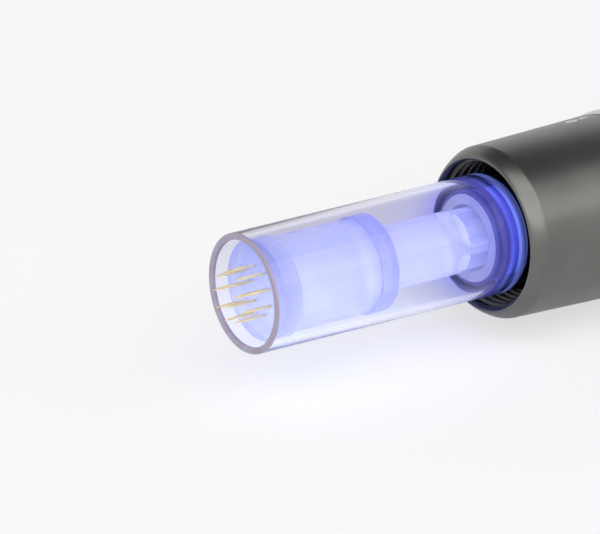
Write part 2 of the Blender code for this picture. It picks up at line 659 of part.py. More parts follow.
def make_needle_plate(body):
    """Blue plate with a blind seat for each needle."""
    outline = [
        (PLATE_SETBACK, 0),
        (PLATE_SETBACK, PLATE_RADIUS - PLATE_CHAMFER),
        (PLATE_SETBACK + PLATE_CHAMFER, PLATE_RADIUS),
        (PLATE_REAR, PLATE_RADIUS),
        (PLATE_REAR, 0),
    ]
    plate = turned("needle_plate", outline, body, BLUE_PLASTIC)
    seat = round_bar(PLATE_SETBACK - OVERRUN, PLATE_SETBACK + NEEDLE_SEAT_DEPTH,
                     NEEDLE_RADIUS + NEEDLE_HOLE_GAP)
    for across, up in needle_places():
        cut(plate, turned("needle_seat_cutter", seat, body, sides=NEEDLE_SIDES, place=(0, across, up)))


def make_needles(body):
    rear = PLATE_SETBACK + NEEDLE_SEAT_DEPTH - NEEDLE_HOLE_GAP
    outline = [
        (-NEEDLE_REACH, 0),
        (-NEEDLE_REACH, NEEDLE_TIP_RADIUS),
        (NEEDLE_TAPER - NEEDLE_REACH, NEEDLE_RADIUS),
        (rear, NEEDLE_RADIUS),
        (rear, 0),
    ]
    for number, (across, up) in enumerate(needle_places(), start=1):
        turned(f"needle_{number:02}", outline, body, GOLD_STEEL, NEEDLE_SIDES, (0, across, up))


def make_needle_carrier(body):
    """Blue slide in the shell: a hollow drum, a round stem and a stem of crossed ribs."""
    cavity_rear = CARRIER_REAR - CARRIER_FLOOR
    outline = [
        (cavity_rear, 0),
        (cavity_rear, CARRIER_CAVITY_RADIUS),
        (CARRIER_FRONT, CARRIER_CAVITY_RADIUS),
        (CARRIER_FRONT, CARRIER_RADIUS),
        (CARRIER_REAR, CARRIER_RADIUS - CARRIER_DRAFT),
        (CARRIER_REAR, CARRIER_FLANGE_RADIUS),
        (CARRIER_FLANGE_REAR, CARRIER_FLANGE_RADIUS),
        (CARRIER_FLANGE_REAR, STEM_RADIUS),
        (STEM_REAR, STEM_RADIUS),
        (STEM_REAR, CORE_RADIUS),
        (CORE_REAR, CORE_RADIUS),
        (CORE_REAR, 0),
    ]
    carrier = turned("needle_carrier", outline, body, BLUE_PLASTIC)
    for turn in (0, pi / 2):
        rib = block(
            "stem_rib",
            (STEM_REAR - OVERRUN, -RIB_THICKNESS / 2, -STEM_RADIUS * cos(pi / INNER_SIDES)),
            (RIBS_REAR, RIB_THICKNESS / 2, STEM_RADIUS * cos(pi / INNER_SIDES)),
            body, turn=turn)
        join(carrier, rib)


def make_plunger_tail(body):
    """Cap on the carrier's core: the return spring presses on it and the drive rod pushes it."""
    hole = CORE_RADIUS + FIT_GAP
    outline = [
        (TAIL_REAR - TAIL_CAP, 0),
        (TAIL_REAR - TAIL_CAP, hole),
        (TAIL_FRONT, hole),
        (TAIL_FRONT, TAIL_RADIUS),
        (TAIL_REAR - TAIL_CHAMFER, TAIL_RADIUS),
        (TAIL_REAR, TAIL_RADIUS - TAIL_CHAMFER),
        (TAIL_REAR, 0),
    ]
    turned("plunger_tail", outline, body, BLUE_PLASTIC)


def make_return_spring(body):
    front = BUSH_REAR + FIT_GAP + RETURN_WIRE_RADIUS
    rear = TAIL_FRONT - FIT_GAP - RETURN_WIRE_RADIUS
    coil("return_spring", front, rear, RETURN_COIL_RADIUS, RETURN_WIRE_RADIUS, RETURN_TURNS, body)


def make_cartridge_holder(body):
    """Sleeve that the cartridge plugs into; two keys keep it from turning in the front core."""
    outline = [
        (HOLDER_FRONT, HOLDER_BORE),
        (HOLDER_FRONT, HOLDER_FLANGE_RADIUS),
        (HOLDER_FLANGE_REAR, HOLDER_FLANGE_RADIUS),
        (HOLDER_FLANGE_REAR, HOLDER_RADIUS),
        (HOLDER_REAR, HOLDER_RADIUS),
        (HOLDER_REAR, HOLDER_STEP_RADIUS),
        (HOLDER_STEP, HOLDER_STEP_RADIUS),
        (HOLDER_STEP, HOLDER_BORE),
    ]
    holder = turned("cartridge_holder", outline, body, BLACK_PLASTIC)
    key_root = (HOLDER_BORE + HOLDER_RADIUS) / 2
    for turn in (0, pi):
        key = block(
            "holder_key",
            (HOLDER_REAR - KEY_LENGTH, key_root, -KEY_WIDTH / 2),
            (HOLDER_REAR, KEY_RADIUS, KEY_WIDTH / 2),
            body, turn=turn)
        join(holder, key)


def make_led_board(body):
    """Ring board behind the cartridge with its lights facing the clear shell."""
    turned("led_board", round_sleeve(LED_BOARD_FRONT, LED_BOARD_REAR, LED_BOARD_BORE, LED_BOARD_RADIUS),
           body, BOARD_GREEN)
    middle = (LED_BOARD_BORE + LED_BOARD_RADIUS) / 2
    for number in range(LED_COUNT):
        block(
            f"led_{number + 1}",
            (LED_FRONT, -LED_WIDTH / 2, middle - LED_DEPTH / 2),
            (LED_REAR, LED_WIDTH / 2, middle + LED_DEPTH / 2),
            body, LIGHT_BLUE, 2 * pi * number / LED_COUNT)


def make_nose_dial(body):
    """Turned nose that sets the needle depth: rounded lip, shallow taper, bore and counterbore."""
    outline = [
        (DIAL_BORE_REAR, DIAL_BORE),
        (DIAL_FRONT + DIAL_MOUTH_CHAMFER, DIAL_BORE),
    ]
    for step in range(DIAL_LIP_STEPS + 1):
        share = step / DIAL_LIP_STEPS
        radius = DIAL_LIP_START_RADIUS + (DIAL_LIP_RADIUS - DIAL_LIP_START_RADIUS) * share
        outline.append((DIAL_FRONT + DIAL_LIP_LENGTH * share ** DIAL_LIP_POWER, radius))
    groove_front = RING_STATION - RING_GROOVE_WIDTH / 2
    groove_rear = RING_STATION + RING_GROOVE_WIDTH / 2
    outline += [
        (DIAL_REAR - DIAL_EDGE, DIAL_REAR_RADIUS),
        (DIAL_REAR, DIAL_REAR_RADIUS - DIAL_EDGE),
        (DIAL_REAR, DIAL_COUNTERBORE),
        (groove_rear, DIAL_COUNTERBORE),
        (groove_rear, DIAL_GROOVE_RADIUS),
        (groove_front, DIAL_GROOVE_RADIUS),
        (groove_front, DIAL_COUNTERBORE),
        (DIAL_BORE_REAR, DIAL_COUNTERBORE),
    ]
    turned("nose_dial", outline, body, SATIN_GUNMETAL, SHELL_SIDES)


def make_dial_ring(body):
    """Open snap ring in the core's groove that keeps the dial on."""
    front = RING_STATION - RING_THICKNESS / 2
    rear = RING_STATION + RING_THICKNESS / 2
    ring = turned("dial_retaining_ring",
                  round_sleeve(front, rear, SPIGOT_GROOVE_RADIUS + FIT_GAP, RING_RADIUS),
                  body, SPRING_STEEL, SHELL_SIDES)
    opening = block(
        "ring_opening_cutter",
        (front - OVERRUN, -RING_OPENING / 2, -RING_RADIUS - OVERRUN),
        (rear + OVERRUN, RING_OPENING / 2, 0),
        body)
    cut(ring, opening)


def make_front_core(body):
    """Turned core at the front of the handle: spigot for the dial, seat for the trim ring and
    a tail that fixes it in the barrel, with a wall that holds the drive rod's bush."""
    groove_front = RING_STATION - RING_GROOVE_WIDTH / 2
    groove_rear = RING_STATION + RING_GROOVE_WIDTH / 2
    outline = [
        (CORE_WALL_FRONT, SPIGOT_BORE),
        (SPIGOT_FRONT, SPIGOT_BORE),
        (SPIGOT_FRONT, SPIGOT_RADIUS - SPIGOT_CHAMFER),
        (SPIGOT_FRONT + SPIGOT_CHAMFER, SPIGOT_RADIUS),
        (groove_front, SPIGOT_RADIUS),
        (groove_front, SPIGOT_GROOVE_RADIUS),
        (groove_rear, SPIGOT_GROOVE_RADIUS),
        (groove_rear, SPIGOT_RADIUS),
        (TRIM_SEAT_FRONT, SPIGOT_RADIUS),
        (TRIM_SEAT_FRONT, TRIM_SEAT_RADIUS),
        (CORE_TAIL_FRONT, TRIM_SEAT_RADIUS),
        (CORE_TAIL_FRONT, CORE_TAIL_RADIUS),
        (CORE_TAIL_REAR, CORE_TAIL_RADIUS),
        (CORE_TAIL_REAR, CORE_TAIL_BORE),
        (CORE_WALL_REAR, CORE_TAIL_BORE),
        (CORE_WALL_REAR, ROD_BUSH_RADIUS + FIT_GAP),
        (CORE_WALL_FRONT, ROD_BUSH_RADIUS + FIT_GAP),
    ]
    core = turned("front_core", outline, body, PLAIN_STEEL, SHELL_SIDES)
    keyways = block(
        "keyway_cutter",
        (SPIGOT_FRONT - OVERRUN, -KEY_RADIUS - SLIDE_GAP, -KEY_WIDTH / 2 - SLIDE_GAP),
        (CORE_WALL_FRONT, KEY_RADIUS + SLIDE_GAP, KEY_WIDTH / 2 + SLIDE_GAP),
        body)
    cut(core, keyways)


def make_trim_ring(body):
    """Bright ring with a low crowned bead."""
    outline = [
        (TRIM_REAR, TRIM_SEAT_RADIUS + FIT_GAP),
        (TRIM_FRONT, TRIM_SEAT_RADIUS + FIT_GAP),
    ]
    for step in range(TRIM_BEAD_STEPS + 1):
        share = step / TRIM_BEAD_STEPS
        radius = TRIM_RADIUS - TRIM_BEAD_RISE * (1 - sin(pi * share))
        outline.append((TRIM_FRONT + TRIM_LENGTH * share, radius))
    turned("trim_ring", outline, body, BRIGHT_RING, SHELL_SIDES)


def barrel_radius(share):
    """The barrel's outer radius at a share of its flare, which swells in a smooth S."""
    return BARREL_FRONT_RADIUS + (BARREL_RADIUS - BARREL_FRONT_RADIUS) * (1 - cos(pi * share)) / 2


def button_flange_top(flange_radius):
    """The height at which a button's flange meets the round bore above it."""
    return sqrt(BARREL_BORE ** 2 - flange_radius ** 2) - FIT_GAP


def button_table():
    """Name, station behind the cartridge's rim and radius of each button."""
    return [
        ("power_button", POWER_STATION, POWER_BUTTON_RADIUS),
        ("speed_up_button", SPEED_UP_STATION, SPEED_BUTTON_RADIUS),
        ("speed_down_button", SPEED_DOWN_STATION, SPEED_BUTTON_RADIUS),
    ]


def light_stations():
    return [FIRST_LIGHT_STATION + LIGHT_PITCH * index for index in range(LIGHT_COUNT)]


def cut_rest_flat(piece, front, rear, body):
    """Cut the narrow flat that the pen lies on, so that it doesn't roll off a table."""
    under = block(
        "rest_flat_cutter",
        (front - OVERRUN, -BARREL_RADIUS, -BARREL_RADIUS - OVERRUN),
        (rear + OVERRUN, BARREL_RADIUS, -AXIS_HEIGHT),
        body)
    cut(piece, under)


def make_barrel(body):
    """Handle shell: flared tube with holes for the three buttons and the row of lights."""
    outline = [
        (BARREL_FRONT, BARREL_FRONT_BORE),
        (BARREL_FRONT, BARREL_FRONT_RADIUS - BARREL_EDGE),
        (BARREL_FRONT + BARREL_EDGE, BARREL_FRONT_RADIUS),
    ]
    for step in range(1, BARREL_FLARE_STEPS + 1):
        share = step / BARREL_FLARE_STEPS
        outline.append((BARREL_FRONT + BARREL_FLARE_LENGTH * share, barrel_radius(share)))
    outline += [
        (BARREL_REAR - BARREL_EDGE, BARREL_RADIUS),
        (BARREL_REAR, BARREL_RADIUS - BARREL_EDGE),
        (BARREL_REAR, BARREL_BORE),
        (BARREL_BORE_STEP, BARREL_BORE),
        (BARREL_BORE_STEP, BARREL_FRONT_BORE),
    ]
    barrel = turned("barrel", outline, body, SATIN_GUNMETAL, SHELL_SIDES)
    cut_rest_flat(barrel, BARREL_FRONT, BARREL_REAR, body)
    for name, station, radius in button_table():
        hole = turned(name + "_cutter", round_bar(0, BARREL_RADIUS + OVERRUN, radius + BUTTON_HOLE_GAP),
                      body, place=(station, 0, 0), upright=True)
        cut(barrel, hole)
    for station in light_stations():
        hole = turned("light_cutter", round_bar(0, BARREL_RADIUS + OVERRUN, LIGHT_RADIUS + FIT_GAP),
                      body, sides=SMALL_SIDES, place=(station, 0, 0), upright=True)
        cut(barrel, hole)


def make_button(name, radius, body):
    """Crowned button with a flange that keeps it in its hole and a stem for its switch."""
    flange_top = button_flange_top(radius + BUTTON_LIP)
    flange_bottom = flange_top - BUTTON_FLANGE_THICKNESS
    top = BARREL_RADIUS + BUTTON_RISE
    outline = [
        (flange_bottom - BUTTON_STEM_LENGTH, 0),
        (flange_bottom - BUTTON_STEM_LENGTH, BUTTON_STEM_RADIUS),
        (flange_bottom, BUTTON_STEM_RADIUS),
        (flange_bottom, radius + BUTTON_LIP),
        (flange_top, radius + BUTTON_LIP),
        (flange_top, radius),
        (top - BUTTON_CROWN, radius),
        (top, radius - BUTTON_CROWN),
        (top, 0),
    ]
    turned(name, outline, body, BRIGHT_RING, upright=True)


def make_switch(name, station, radius, body):
    """Small switch on the board whose tip waits just under the pressed button's stem."""
    half = SWITCH_WIDTH / 2
    low = BOARD_TOP + FIT_GAP
    switch = block(name, (station - half, -half, low), (station + half, half, low + SWITCH_HEIGHT),
                   body, BLACK_PLASTIC)
    stem_foot = button_flange_top(radius + BUTTON_LIP) - BUTTON_FLANGE_THICKNESS - BUTTON_STEM_LENGTH
    tip_top = stem_foot - BUTTON_TRAVEL - SWITCH_TIP_GAP
    tip_bar = round_bar(low + SWITCH_HEIGHT / 2, tip_top, SWITCH_TIP_RADIUS)
    tip = turned("switch_tip", tip_bar, body, sides=SMALL_SIDES, place=(station, 0, 0), upright=True)
    join(switch, tip)


def make_light_guide(body):
    """Clear bar under the barrel's top with a pin up through each light hole."""
    stations = light_stations()
    half = LIGHT_BAR_WIDTH / 2
    top = sqrt(BARREL_BORE ** 2 - half ** 2) - SEAT_GAP
    guide = block(
        "light_guide",
        (stations[0] - half, -half, top - LIGHT_BAR_HEIGHT),
        (stations[-1] + half, half, top),
        body, LIGHT_BLUE)
    pin_bar = round_bar(top - LIGHT_BAR_HEIGHT / 2, BARREL_RADIUS - LIGHT_RECESS, LIGHT_RADIUS)
    for station in stations:
        pin = turned("light_pin", pin_bar, body, sides=SMALL_SIDES, place=(station, 0, 0), upright=True)
        join(guide, pin)


def make_rod_bushing(body):
    """Flanged bush in the core's wall that the drive rod slides through."""
    outline = [
        (CORE_WALL_FRONT, ROD_BUSH_BORE),
        (CORE_WALL_FRONT, ROD_BUSH_RADIUS),
        (ROD_BUSH_FLANGE_FRONT, ROD_BUSH_RADIUS),
        (ROD_BUSH_FLANGE_FRONT, ROD_BUSH_FLANGE_RADIUS),
        (ROD_BUSH_REAR, ROD_BUSH_FLANGE_RADIUS),
        (ROD_BUSH_REAR, ROD_BUSH_BORE),
    ]
    turned("rod_bushing", outline, body, BRASS)


def make_drive_rod(body):
    """Round rod with a pusher head that meets the cartridge's tail."""
    outline = [
        (ROD_HEAD_FRONT, 0),
        (ROD_HEAD_FRONT, ROD_HEAD_RADIUS),
        (ROD_HEAD_REAR, ROD_HEAD_RADIUS),
        (ROD_HEAD_REAR, ROD_RADIUS),
        (ROD_REAR, ROD_RADIUS),
        (ROD_REAR, 0),
    ]
    turned("drive_rod", outline, body, PLAIN_STEEL)


def make_follower_head(body):
    """Disc on the drive rod's rear end, with a boss that holds the ball.

    The disc stays clear of the cam's high side when the cam has turned half round.
    """
    hole = ROD_RADIUS + FIT_GAP
    outline = [
        (FOLLOWER_SOCKET_REAR, 0),
        (FOLLOWER_SOCKET_REAR, hole),
        (FOLLOWER_FRONT, hole),
        (FOLLOWER_FRONT, FOLLOWER_RADIUS),
        (FOLLOWER_HUB_REAR, FOLLOWER_RADIUS),
        (FOLLOWER_HUB_REAR, 0),
    ]
    head = turned("follower_head", outline, body, PLAIN_STEEL)
    boss = round_bar(FOLLOWER_FRONT + FOLLOWER_HUB_LENGTH / 2, FOLLOWER_REAR, FOLLOWER_BOSS_RADIUS)
    join(head, turned("ball_boss", boss, body, place=(0, 0, BALL_OFFSET)))
    cut(head, ball("ball_seat_cutter", BALL_RADIUS + FIT_GAP, body, place=(BALL_STATION, 0, BALL_OFFSET)))
    ball("follower_ball", BALL_RADIUS, body, BRIGHT_RING, (BALL_STATION, 0, BALL_OFFSET))


def make_rod_spring(body):
    front = ROD_BUSH_REAR + FIT_GAP + ROD_SPRING_WIRE_RADIUS
    rear = FOLLOWER_FRONT - FIT_GAP - ROD_SPRING_WIRE_RADIUS
    coil("rod_spring", front, rear, ROD_SPRING_COIL_RADIUS, ROD_SPRING_WIRE_RADIUS, ROD_SPRING_TURNS, body)


def make_cam(body):
    """Face cam: its track falls evenly from the top to the bottom, so half a turn is one stroke."""
    shape = bmesh.new()
    rings = [[], [], [], [], []]
    for corner in range(INNER_SIDES):
        angle = 2 * pi * corner / INNER_SIDES
        fall = min(angle, 2 * pi - angle) / pi
        track = CAM_HIGH + NEEDLE_STROKE * fall
        stops = [
            (CAM_LOW + CAM_CENTRE_SINK, CAM_CENTRE_RADIUS),
            (track, CAM_CENTRE_RADIUS),
            (track, CAM_RADIUS),
            (CAM_DISC_REAR, CAM_RADIUS),
            (CAM_DISC_REAR, CAM_HUB_RADIUS),
        ]
        for ring, (station, radius) in zip(rings, stops):
            ring.append(shape.verts.new((station, radius * sin(angle), radius * cos(angle))))
    for near, far in zip(rings, rings[1:]):
        for corner in range(INNER_SIDES):
            after = (corner + 1) % INNER_SIDES
            shape.faces.new((near[corner], near[after], far[after], far[corner]))
    shape.faces.new(rings[0])
    shape.faces.new(rings[-1])
    cam = add_piece("cam", shape, body, WHITE_PLASTIC)
    hub = turned("cam_hub", round_bar(CAM_DISC_REAR - CAM_LOW_THICKNESS / 2, CAM_REAR, CAM_HUB_RADIUS),
                 body)
    join(cam, hub)
    bore = round_bar(SHAFT_FRONT - FIT_GAP, CAM_REAR + OVERRUN, SHAFT_RADIUS + SHAFT_GAP)
    cut(cam, turned("cam_bore_cutter", bore, body))


def make_motor_shaft(body):
    turned("motor_shaft", round_bar(SHAFT_FRONT, SHAFT_REAR, SHAFT_RADIUS), body, PLAIN_STEEL)


def screw_places():
    """Places of the two screws, one at each side of the motor's boss."""
    return [(0, side * SCREW_OFFSET, 0) for side in (-1, 1)]


def make_motor_can(body):
    """Round can motor: boss and shaft bore in front, tapped holes for its two screws."""
    boss_front = MOTOR_FRONT - MOTOR_BOSS_LENGTH
    bore_rear = SHAFT_REAR + FIT_GAP
    outline = [
        (bore_rear, 0),
        (bore_rear, MOTOR_BORE_RADIUS),
        (boss_front, MOTOR_BORE_RADIUS),
        (boss_front, MOTOR_BOSS_RADIUS),
        (MOTOR_FRONT, MOTOR_BOSS_RADIUS),
        (MOTOR_FRONT, MOTOR_RADIUS - MOTOR_EDGE),
        (MOTOR_FRONT + MOTOR_EDGE, MOTOR_RADIUS),
        (MOTOR_REAR, MOTOR_RADIUS),
        (MOTOR_REAR, 0),
    ]
    motor = turned("motor_can", outline, body, PLAIN_STEEL)
    screw_rear = MOUNT_FRONT - SEAT_GAP + SCREW_LENGTH
    hole = round_bar(MOTOR_FRONT - OVERRUN, screw_rear + FIT_GAP, SCREW_RADIUS + SCREW_HOLE_GAP)
    for place in screw_places():
        cut(motor, turned("screw_hole_cutter", hole, body, sides=SMALL_SIDES, place=place))


def make_end_bell(body):
    outline = [
        (END_BELL_FRONT, 0),
        (END_BELL_FRONT, MOTOR_RADIUS),
        (END_BELL_REAR - MOTOR_EDGE, MOTOR_RADIUS),
        (END_BELL_REAR, MOTOR_RADIUS - MOTOR_EDGE),
        (END_BELL_REAR, END_BELL_BOSS_RADIUS),
        (END_BELL_BOSS_REAR, END_BELL_BOSS_RADIUS),
        (END_BELL_BOSS_REAR, 0),
    ]
    turned("motor_end_bell", outline, body, BLACK_PLASTIC)


def make_motor_mount(body):
    """Cup in the barrel's front bore that the motor is screwed to."""
    outline = [
        (MOUNT_FRONT, MOTOR_BOSS_RADIUS + SLIDE_GAP),
        (MOUNT_FRONT, CORE_TAIL_RADIUS),
        (MOUNT_REAR, CORE_TAIL_RADIUS),
        (MOUNT_REAR, MOTOR_RADIUS + FIT_GAP),
        (MOUNT_WALL_REAR, MOTOR_RADIUS + FIT_GAP),
        (MOUNT_WALL_REAR, MOTOR_BOSS_RADIUS + SLIDE_GAP),
    ]
    mount = turned("motor_mount", outline, body, GREY_PLASTIC)
    hole = round_bar(MOUNT_FRONT - OVERRUN, MOUNT_WALL_REAR + OVERRUN, SCREW_RADIUS + SCREW_HOLE_GAP)
    for place in screw_places():
        cut(mount, turned("mount_hole_cutter", hole, body, sides=SMALL_SIDES, place=place))


def make_motor_screws(body):
    head_rear = MOUNT_FRONT - SEAT_GAP
    outline = [
        (head_rear - SCREW_HEAD_LENGTH, 0),
        (head_rear - SCREW_HEAD_LENGTH, SCREW_HEAD_RADIUS),
        (head_rear, SCREW_HEAD_RADIUS),
        (head_rear, SCREW_RADIUS),
        (head_rear + SCREW_LENGTH, SCREW_RADIUS),
        (head_rear + SCREW_LENGTH, 0),
    ]
    for number, place in enumerate(screw_places(), start=1):
        turned(f"motor_screw_{number}", outline, body, SPRING_STEEL, SMALL_SIDES, place)


def make_battery_tray(body):
    """Round-backed tray, open at the top, with a channel for the cell and two end walls."""
    tray = turned("battery_tray", round_bar(TRAY_FRONT, TRAY_REAR, TRAY_RADIUS),
                  body, BLACK_PLASTIC, SHELL_SIDES)
    above = block(
        "tray_top_cutter",
        (TRAY_FRONT - OVERRUN, -TRAY_RADIUS - OVERRUN, TRAY_TOP),
        (TRAY_REAR + OVERRUN, TRAY_RADIUS + OVERRUN, TRAY_RADIUS + OVERRUN),
        body)
    channel = turned("tray_channel_cutter",
                     round_bar(TRAY_POCKET_FRONT, TRAY_POCKET_REAR, TRAY_CHANNEL_RADIUS),
                     body, place=(0, 0, -CELL_DROP))
    slot = block(
        "tray_slot_cutter",
        (TRAY_POCKET_FRONT, -TRAY_CHANNEL_RADIUS, -CELL_DROP),
        (TRAY_POCKET_REAR, TRAY_CHANNEL_RADIUS, TRAY_TOP + OVERRUN),
        body)
    cut(tray, above, channel, slot)


def make_battery_cell(body):
    outline = [
        (CELL_FRONT - CELL_BUTTON_LENGTH, 0),
        (CELL_FRONT - CELL_BUTTON_LENGTH, CELL_BUTTON_RADIUS),
        (CELL_FRONT, CELL_BUTTON_RADIUS),
        (CELL_FRONT, CELL_RADIUS - CELL_EDGE),
        (CELL_FRONT + CELL_EDGE, CELL_RADIUS),
        (CELL_REAR - CELL_EDGE, CELL_RADIUS),
        (CELL_REAR, CELL_RADIUS - CELL_EDGE),
        (CELL_REAR, 0),
    ]
    turned("battery_cell", outline, body, CELL_WRAP, place=(0, 0, -CELL_DROP))


def make_battery_contacts(body):
    """Pressed plates on the tray's end walls, each dished towards the cell."""
    plate_front = TRAY_POCKET_FRONT + FIT_GAP
    plate_rear = TRAY_POCKET_REAR - FIT_GAP
    tips = [
        ("front", plate_front, CELL_FRONT - CELL_BUTTON_LENGTH - FIT_GAP, 1),
        ("rear", plate_rear, CELL_REAR + FIT_GAP, -1),
    ]
    for end, wall, tip, way in tips:
        outline = [
            (wall, 0),
            (wall, CONTACT_PLATE_RADIUS),
            (wall + way * CONTACT_THICKNESS, CONTACT_PLATE_RADIUS),
            (wall + way * CONTACT_THICKNESS, 2 * CONTACT_TIP_RADIUS),
            (tip, CONTACT_TIP_RADIUS),
            (tip, 0),
        ]
        turned("battery_contact_" + end, outline, body, BRASS, SMALL_SIDES, (0, 0, -CELL_DROP))


def make_main_board(body):
    block(
        "main_board",
        (BOARD_FRONT, -BOARD_HALF_WIDTH, BOARD_BOTTOM),
        (BOARD_REAR, BOARD_HALF_WIDTH, BOARD_TOP),
        body, BOARD_GREEN)


def make_rear_cap(body):
    """Rounded end cap with a spigot in the barrel and a hole for the charging socket."""
    groove = CAP_RING_SECTION + RING_GROOVE_GAP
    groove_radius = BARREL_BORE - RING_GROOVE_GAP - 2 * groove
    outline = [
        (CAP_WALL_FRONT, SOCKET_HOLE_RADIUS),
        (CAP_WALL_FRONT, CAP_BORE),
        (CAP_SPIGOT_FRONT, CAP_BORE),
        (CAP_SPIGOT_FRONT, CAP_SPIGOT_RADIUS),
        (CAP_RING_STATION - groove, CAP_SPIGOT_RADIUS),
        (CAP_RING_STATION - groove, groove_radius),
        (CAP_RING_STATION + groove, groove_radius),
        (CAP_RING_STATION + groove, CAP_SPIGOT_RADIUS),
        (CAP_FRONT, CAP_SPIGOT_RADIUS),
        (CAP_FRONT, BARREL_RADIUS - BARREL_EDGE),
        (CAP_FRONT + BARREL_EDGE, BARREL_RADIUS),
    ]
    for step in range(CAP_ROUNDING_STEPS + 1):
        angle = pi / 2 * step / CAP_ROUNDING_STEPS
        outline.append((CAP_REAR - CAP_ROUNDING * (1 - sin(angle)),
                        BARREL_RADIUS - CAP_ROUNDING * (1 - cos(angle))))
    outline.append((CAP_REAR, SOCKET_HOLE_RADIUS))
    cap = turned("rear_cap", outline, body, SATIN_GUNMETAL, SHELL_SIDES)
    cut_rest_flat(cap, CAP_FRONT, CAP_REAR, body)
    ring_radius = BARREL_BORE - 2 * RING_GROOVE_GAP - CAP_RING_SECTION
    section = ring_circle(CAP_RING_STATION, ring_radius, CAP_RING_SECTION)
    turned("cap_o_ring", section, body, BLACK_RUBBER, SHELL_SIDES)


def make_charge_socket(body):
    """Round charging socket in the cap's end wall, with its centre pin."""
    pin_hole = SOCKET_PIN_RADIUS + FIT_GAP
    outline = [
        (SOCKET_FRONT, pin_hole),
        (SOCKET_FRONT, SOCKET_RADIUS),
        (SOCKET_FLANGE_FRONT, SOCKET_RADIUS),
        (SOCKET_FLANGE_FRONT, SOCKET_FLANGE_RADIUS),
        (SOCKET_FLANGE_REAR, SOCKET_FLANGE_RADIUS),
        (SOCKET_FLANGE_REAR, SOCKET_RADIUS),
        (SOCKET_REAR, SOCKET_RADIUS),
        (SOCKET_REAR, SOCKET_BORE_RADIUS),
        (SOCKET_BORE_FRONT, SOCKET_BORE_RADIUS),
        (SOCKET_BORE_FRONT, pin_hole),
    ]
    turned("charge_socket", outline, body, BLACK_PLASTIC)
    turned("socket_pin", round_bar(SOCKET_FRONT, SOCKET_BORE_FRONT + SOCKET_PIN_LENGTH, SOCKET_PIN_RADIUS),
           body, BRASS, SMALL_SIDES)


def make_handle(body):
    make_front_core(body)
    make_dial_ring(body)
    make_trim_ring(body)
    make_barrel(body)
    make_rod_bushing(body)
    make_motor_mount(body)
    make_motor_can(body)
    make_end_bell(body)
    make_motor_screws(body)
    make_battery_tray(body)
    make_battery_cell(body)
    make_battery_contacts(body)
    make_main_board(body)
    for name, station, radius in button_table():
        make_switch(name.replace("button", "switch"), station, radius, body)
    make_light_guide(body)
    make_rear_cap(body)
    make_charge_socket(body)


def make_pen():
    clear_scene()
    pen = frame_empty("pen_axis", place=(-PEN_MIDDLE, 0, AXIS_HEIGHT))
    handle = frame_empty("handle_frame", pen)
    make_handle(handle)
    make_nose_dial(frame_empty("depth_dial_frame", handle))
    holder = frame_empty("holder_frame", handle)
    make_cartridge_holder(holder)
    make_led_board(holder)
    cartridge = frame_empty("cartridge_frame", holder)
    make_cartridge_shell(cartridge)
    make_cartridge_ring(cartridge)
    make_seal_bush(cartridge)
    spring = frame_empty("return_spring_frame", cartridge)
    make_return_spring(spring)
    carriage = frame_empty("needle_carriage_frame", spring)
    make_needle_plate(carriage)
    make_needles(carriage)
    make_needle_carrier(carriage)
    make_plunger_tail(carriage)
    rotor = frame_empty("rotor_frame", handle)
    make_motor_shaft(rotor)
    make_cam(rotor)
    rod = frame_empty("drive_rod_frame", handle)
    make_drive_rod(rod)
    make_follower_head(rod)
    make_rod_spring(rod)
    for name, station, radius in button_table():
        make_button(name, radius, frame_empty(name + "_frame", handle, (station, 0, 0)))


make_pen()
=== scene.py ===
"""Looks of the microneedling pen: fine turned surfaces, materials, studio and camera.

Stations are distances along the pen's axis, measured back from the cartridge's front rim.
A groove, collar or flange is its front station, its rear station and its radius.
"""

import json
from math import cos, hypot, pi, radians, sin, sqrt

import bmesh
import bpy
from mathutils import Matrix, Vector

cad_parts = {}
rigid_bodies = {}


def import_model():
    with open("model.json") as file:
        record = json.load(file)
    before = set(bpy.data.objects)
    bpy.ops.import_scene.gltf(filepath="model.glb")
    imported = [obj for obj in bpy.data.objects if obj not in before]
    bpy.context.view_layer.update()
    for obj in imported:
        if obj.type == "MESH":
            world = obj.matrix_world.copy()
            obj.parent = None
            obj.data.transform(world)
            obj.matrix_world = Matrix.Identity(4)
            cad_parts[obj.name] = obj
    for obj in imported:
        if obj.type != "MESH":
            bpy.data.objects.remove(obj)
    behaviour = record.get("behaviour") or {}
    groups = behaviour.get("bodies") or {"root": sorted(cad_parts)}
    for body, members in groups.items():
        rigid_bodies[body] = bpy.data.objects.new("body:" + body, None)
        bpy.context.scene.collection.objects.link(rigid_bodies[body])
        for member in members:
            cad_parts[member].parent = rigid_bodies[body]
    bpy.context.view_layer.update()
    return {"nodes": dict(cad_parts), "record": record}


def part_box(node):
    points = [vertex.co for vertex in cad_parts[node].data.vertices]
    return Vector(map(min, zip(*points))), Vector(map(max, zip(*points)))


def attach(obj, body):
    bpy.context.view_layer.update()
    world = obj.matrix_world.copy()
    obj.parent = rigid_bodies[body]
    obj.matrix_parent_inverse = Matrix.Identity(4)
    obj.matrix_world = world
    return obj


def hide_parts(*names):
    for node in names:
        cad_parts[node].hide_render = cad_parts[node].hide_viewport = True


for old in list(bpy.data.objects):
    bpy.data.objects.remove(old, do_unlink=True)

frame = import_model()

# Where the frame puts the pen: its rim along X and its axis above the table
RIM_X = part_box("cartridge_shell")[0].x
AXIS_Z = (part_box("nose_dial")[0].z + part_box("nose_dial")[1].z) / 2

# The camera, fitted to the photograph: how it is turned, its lens and the rim's place in its view
CAMERA_AZIMUTH = radians(35.24)
CAMERA_ELEVATION = radians(20.31)
CAMERA_LENS = 150
CAMERA_SENSOR = 36
CAMERA_NEAR = 0.01
CAMERA_FAR = 10
RIM_RIGHT = -0.005547
RIM_DOWN = 0.002611
RIM_DEPTH = 0.24082

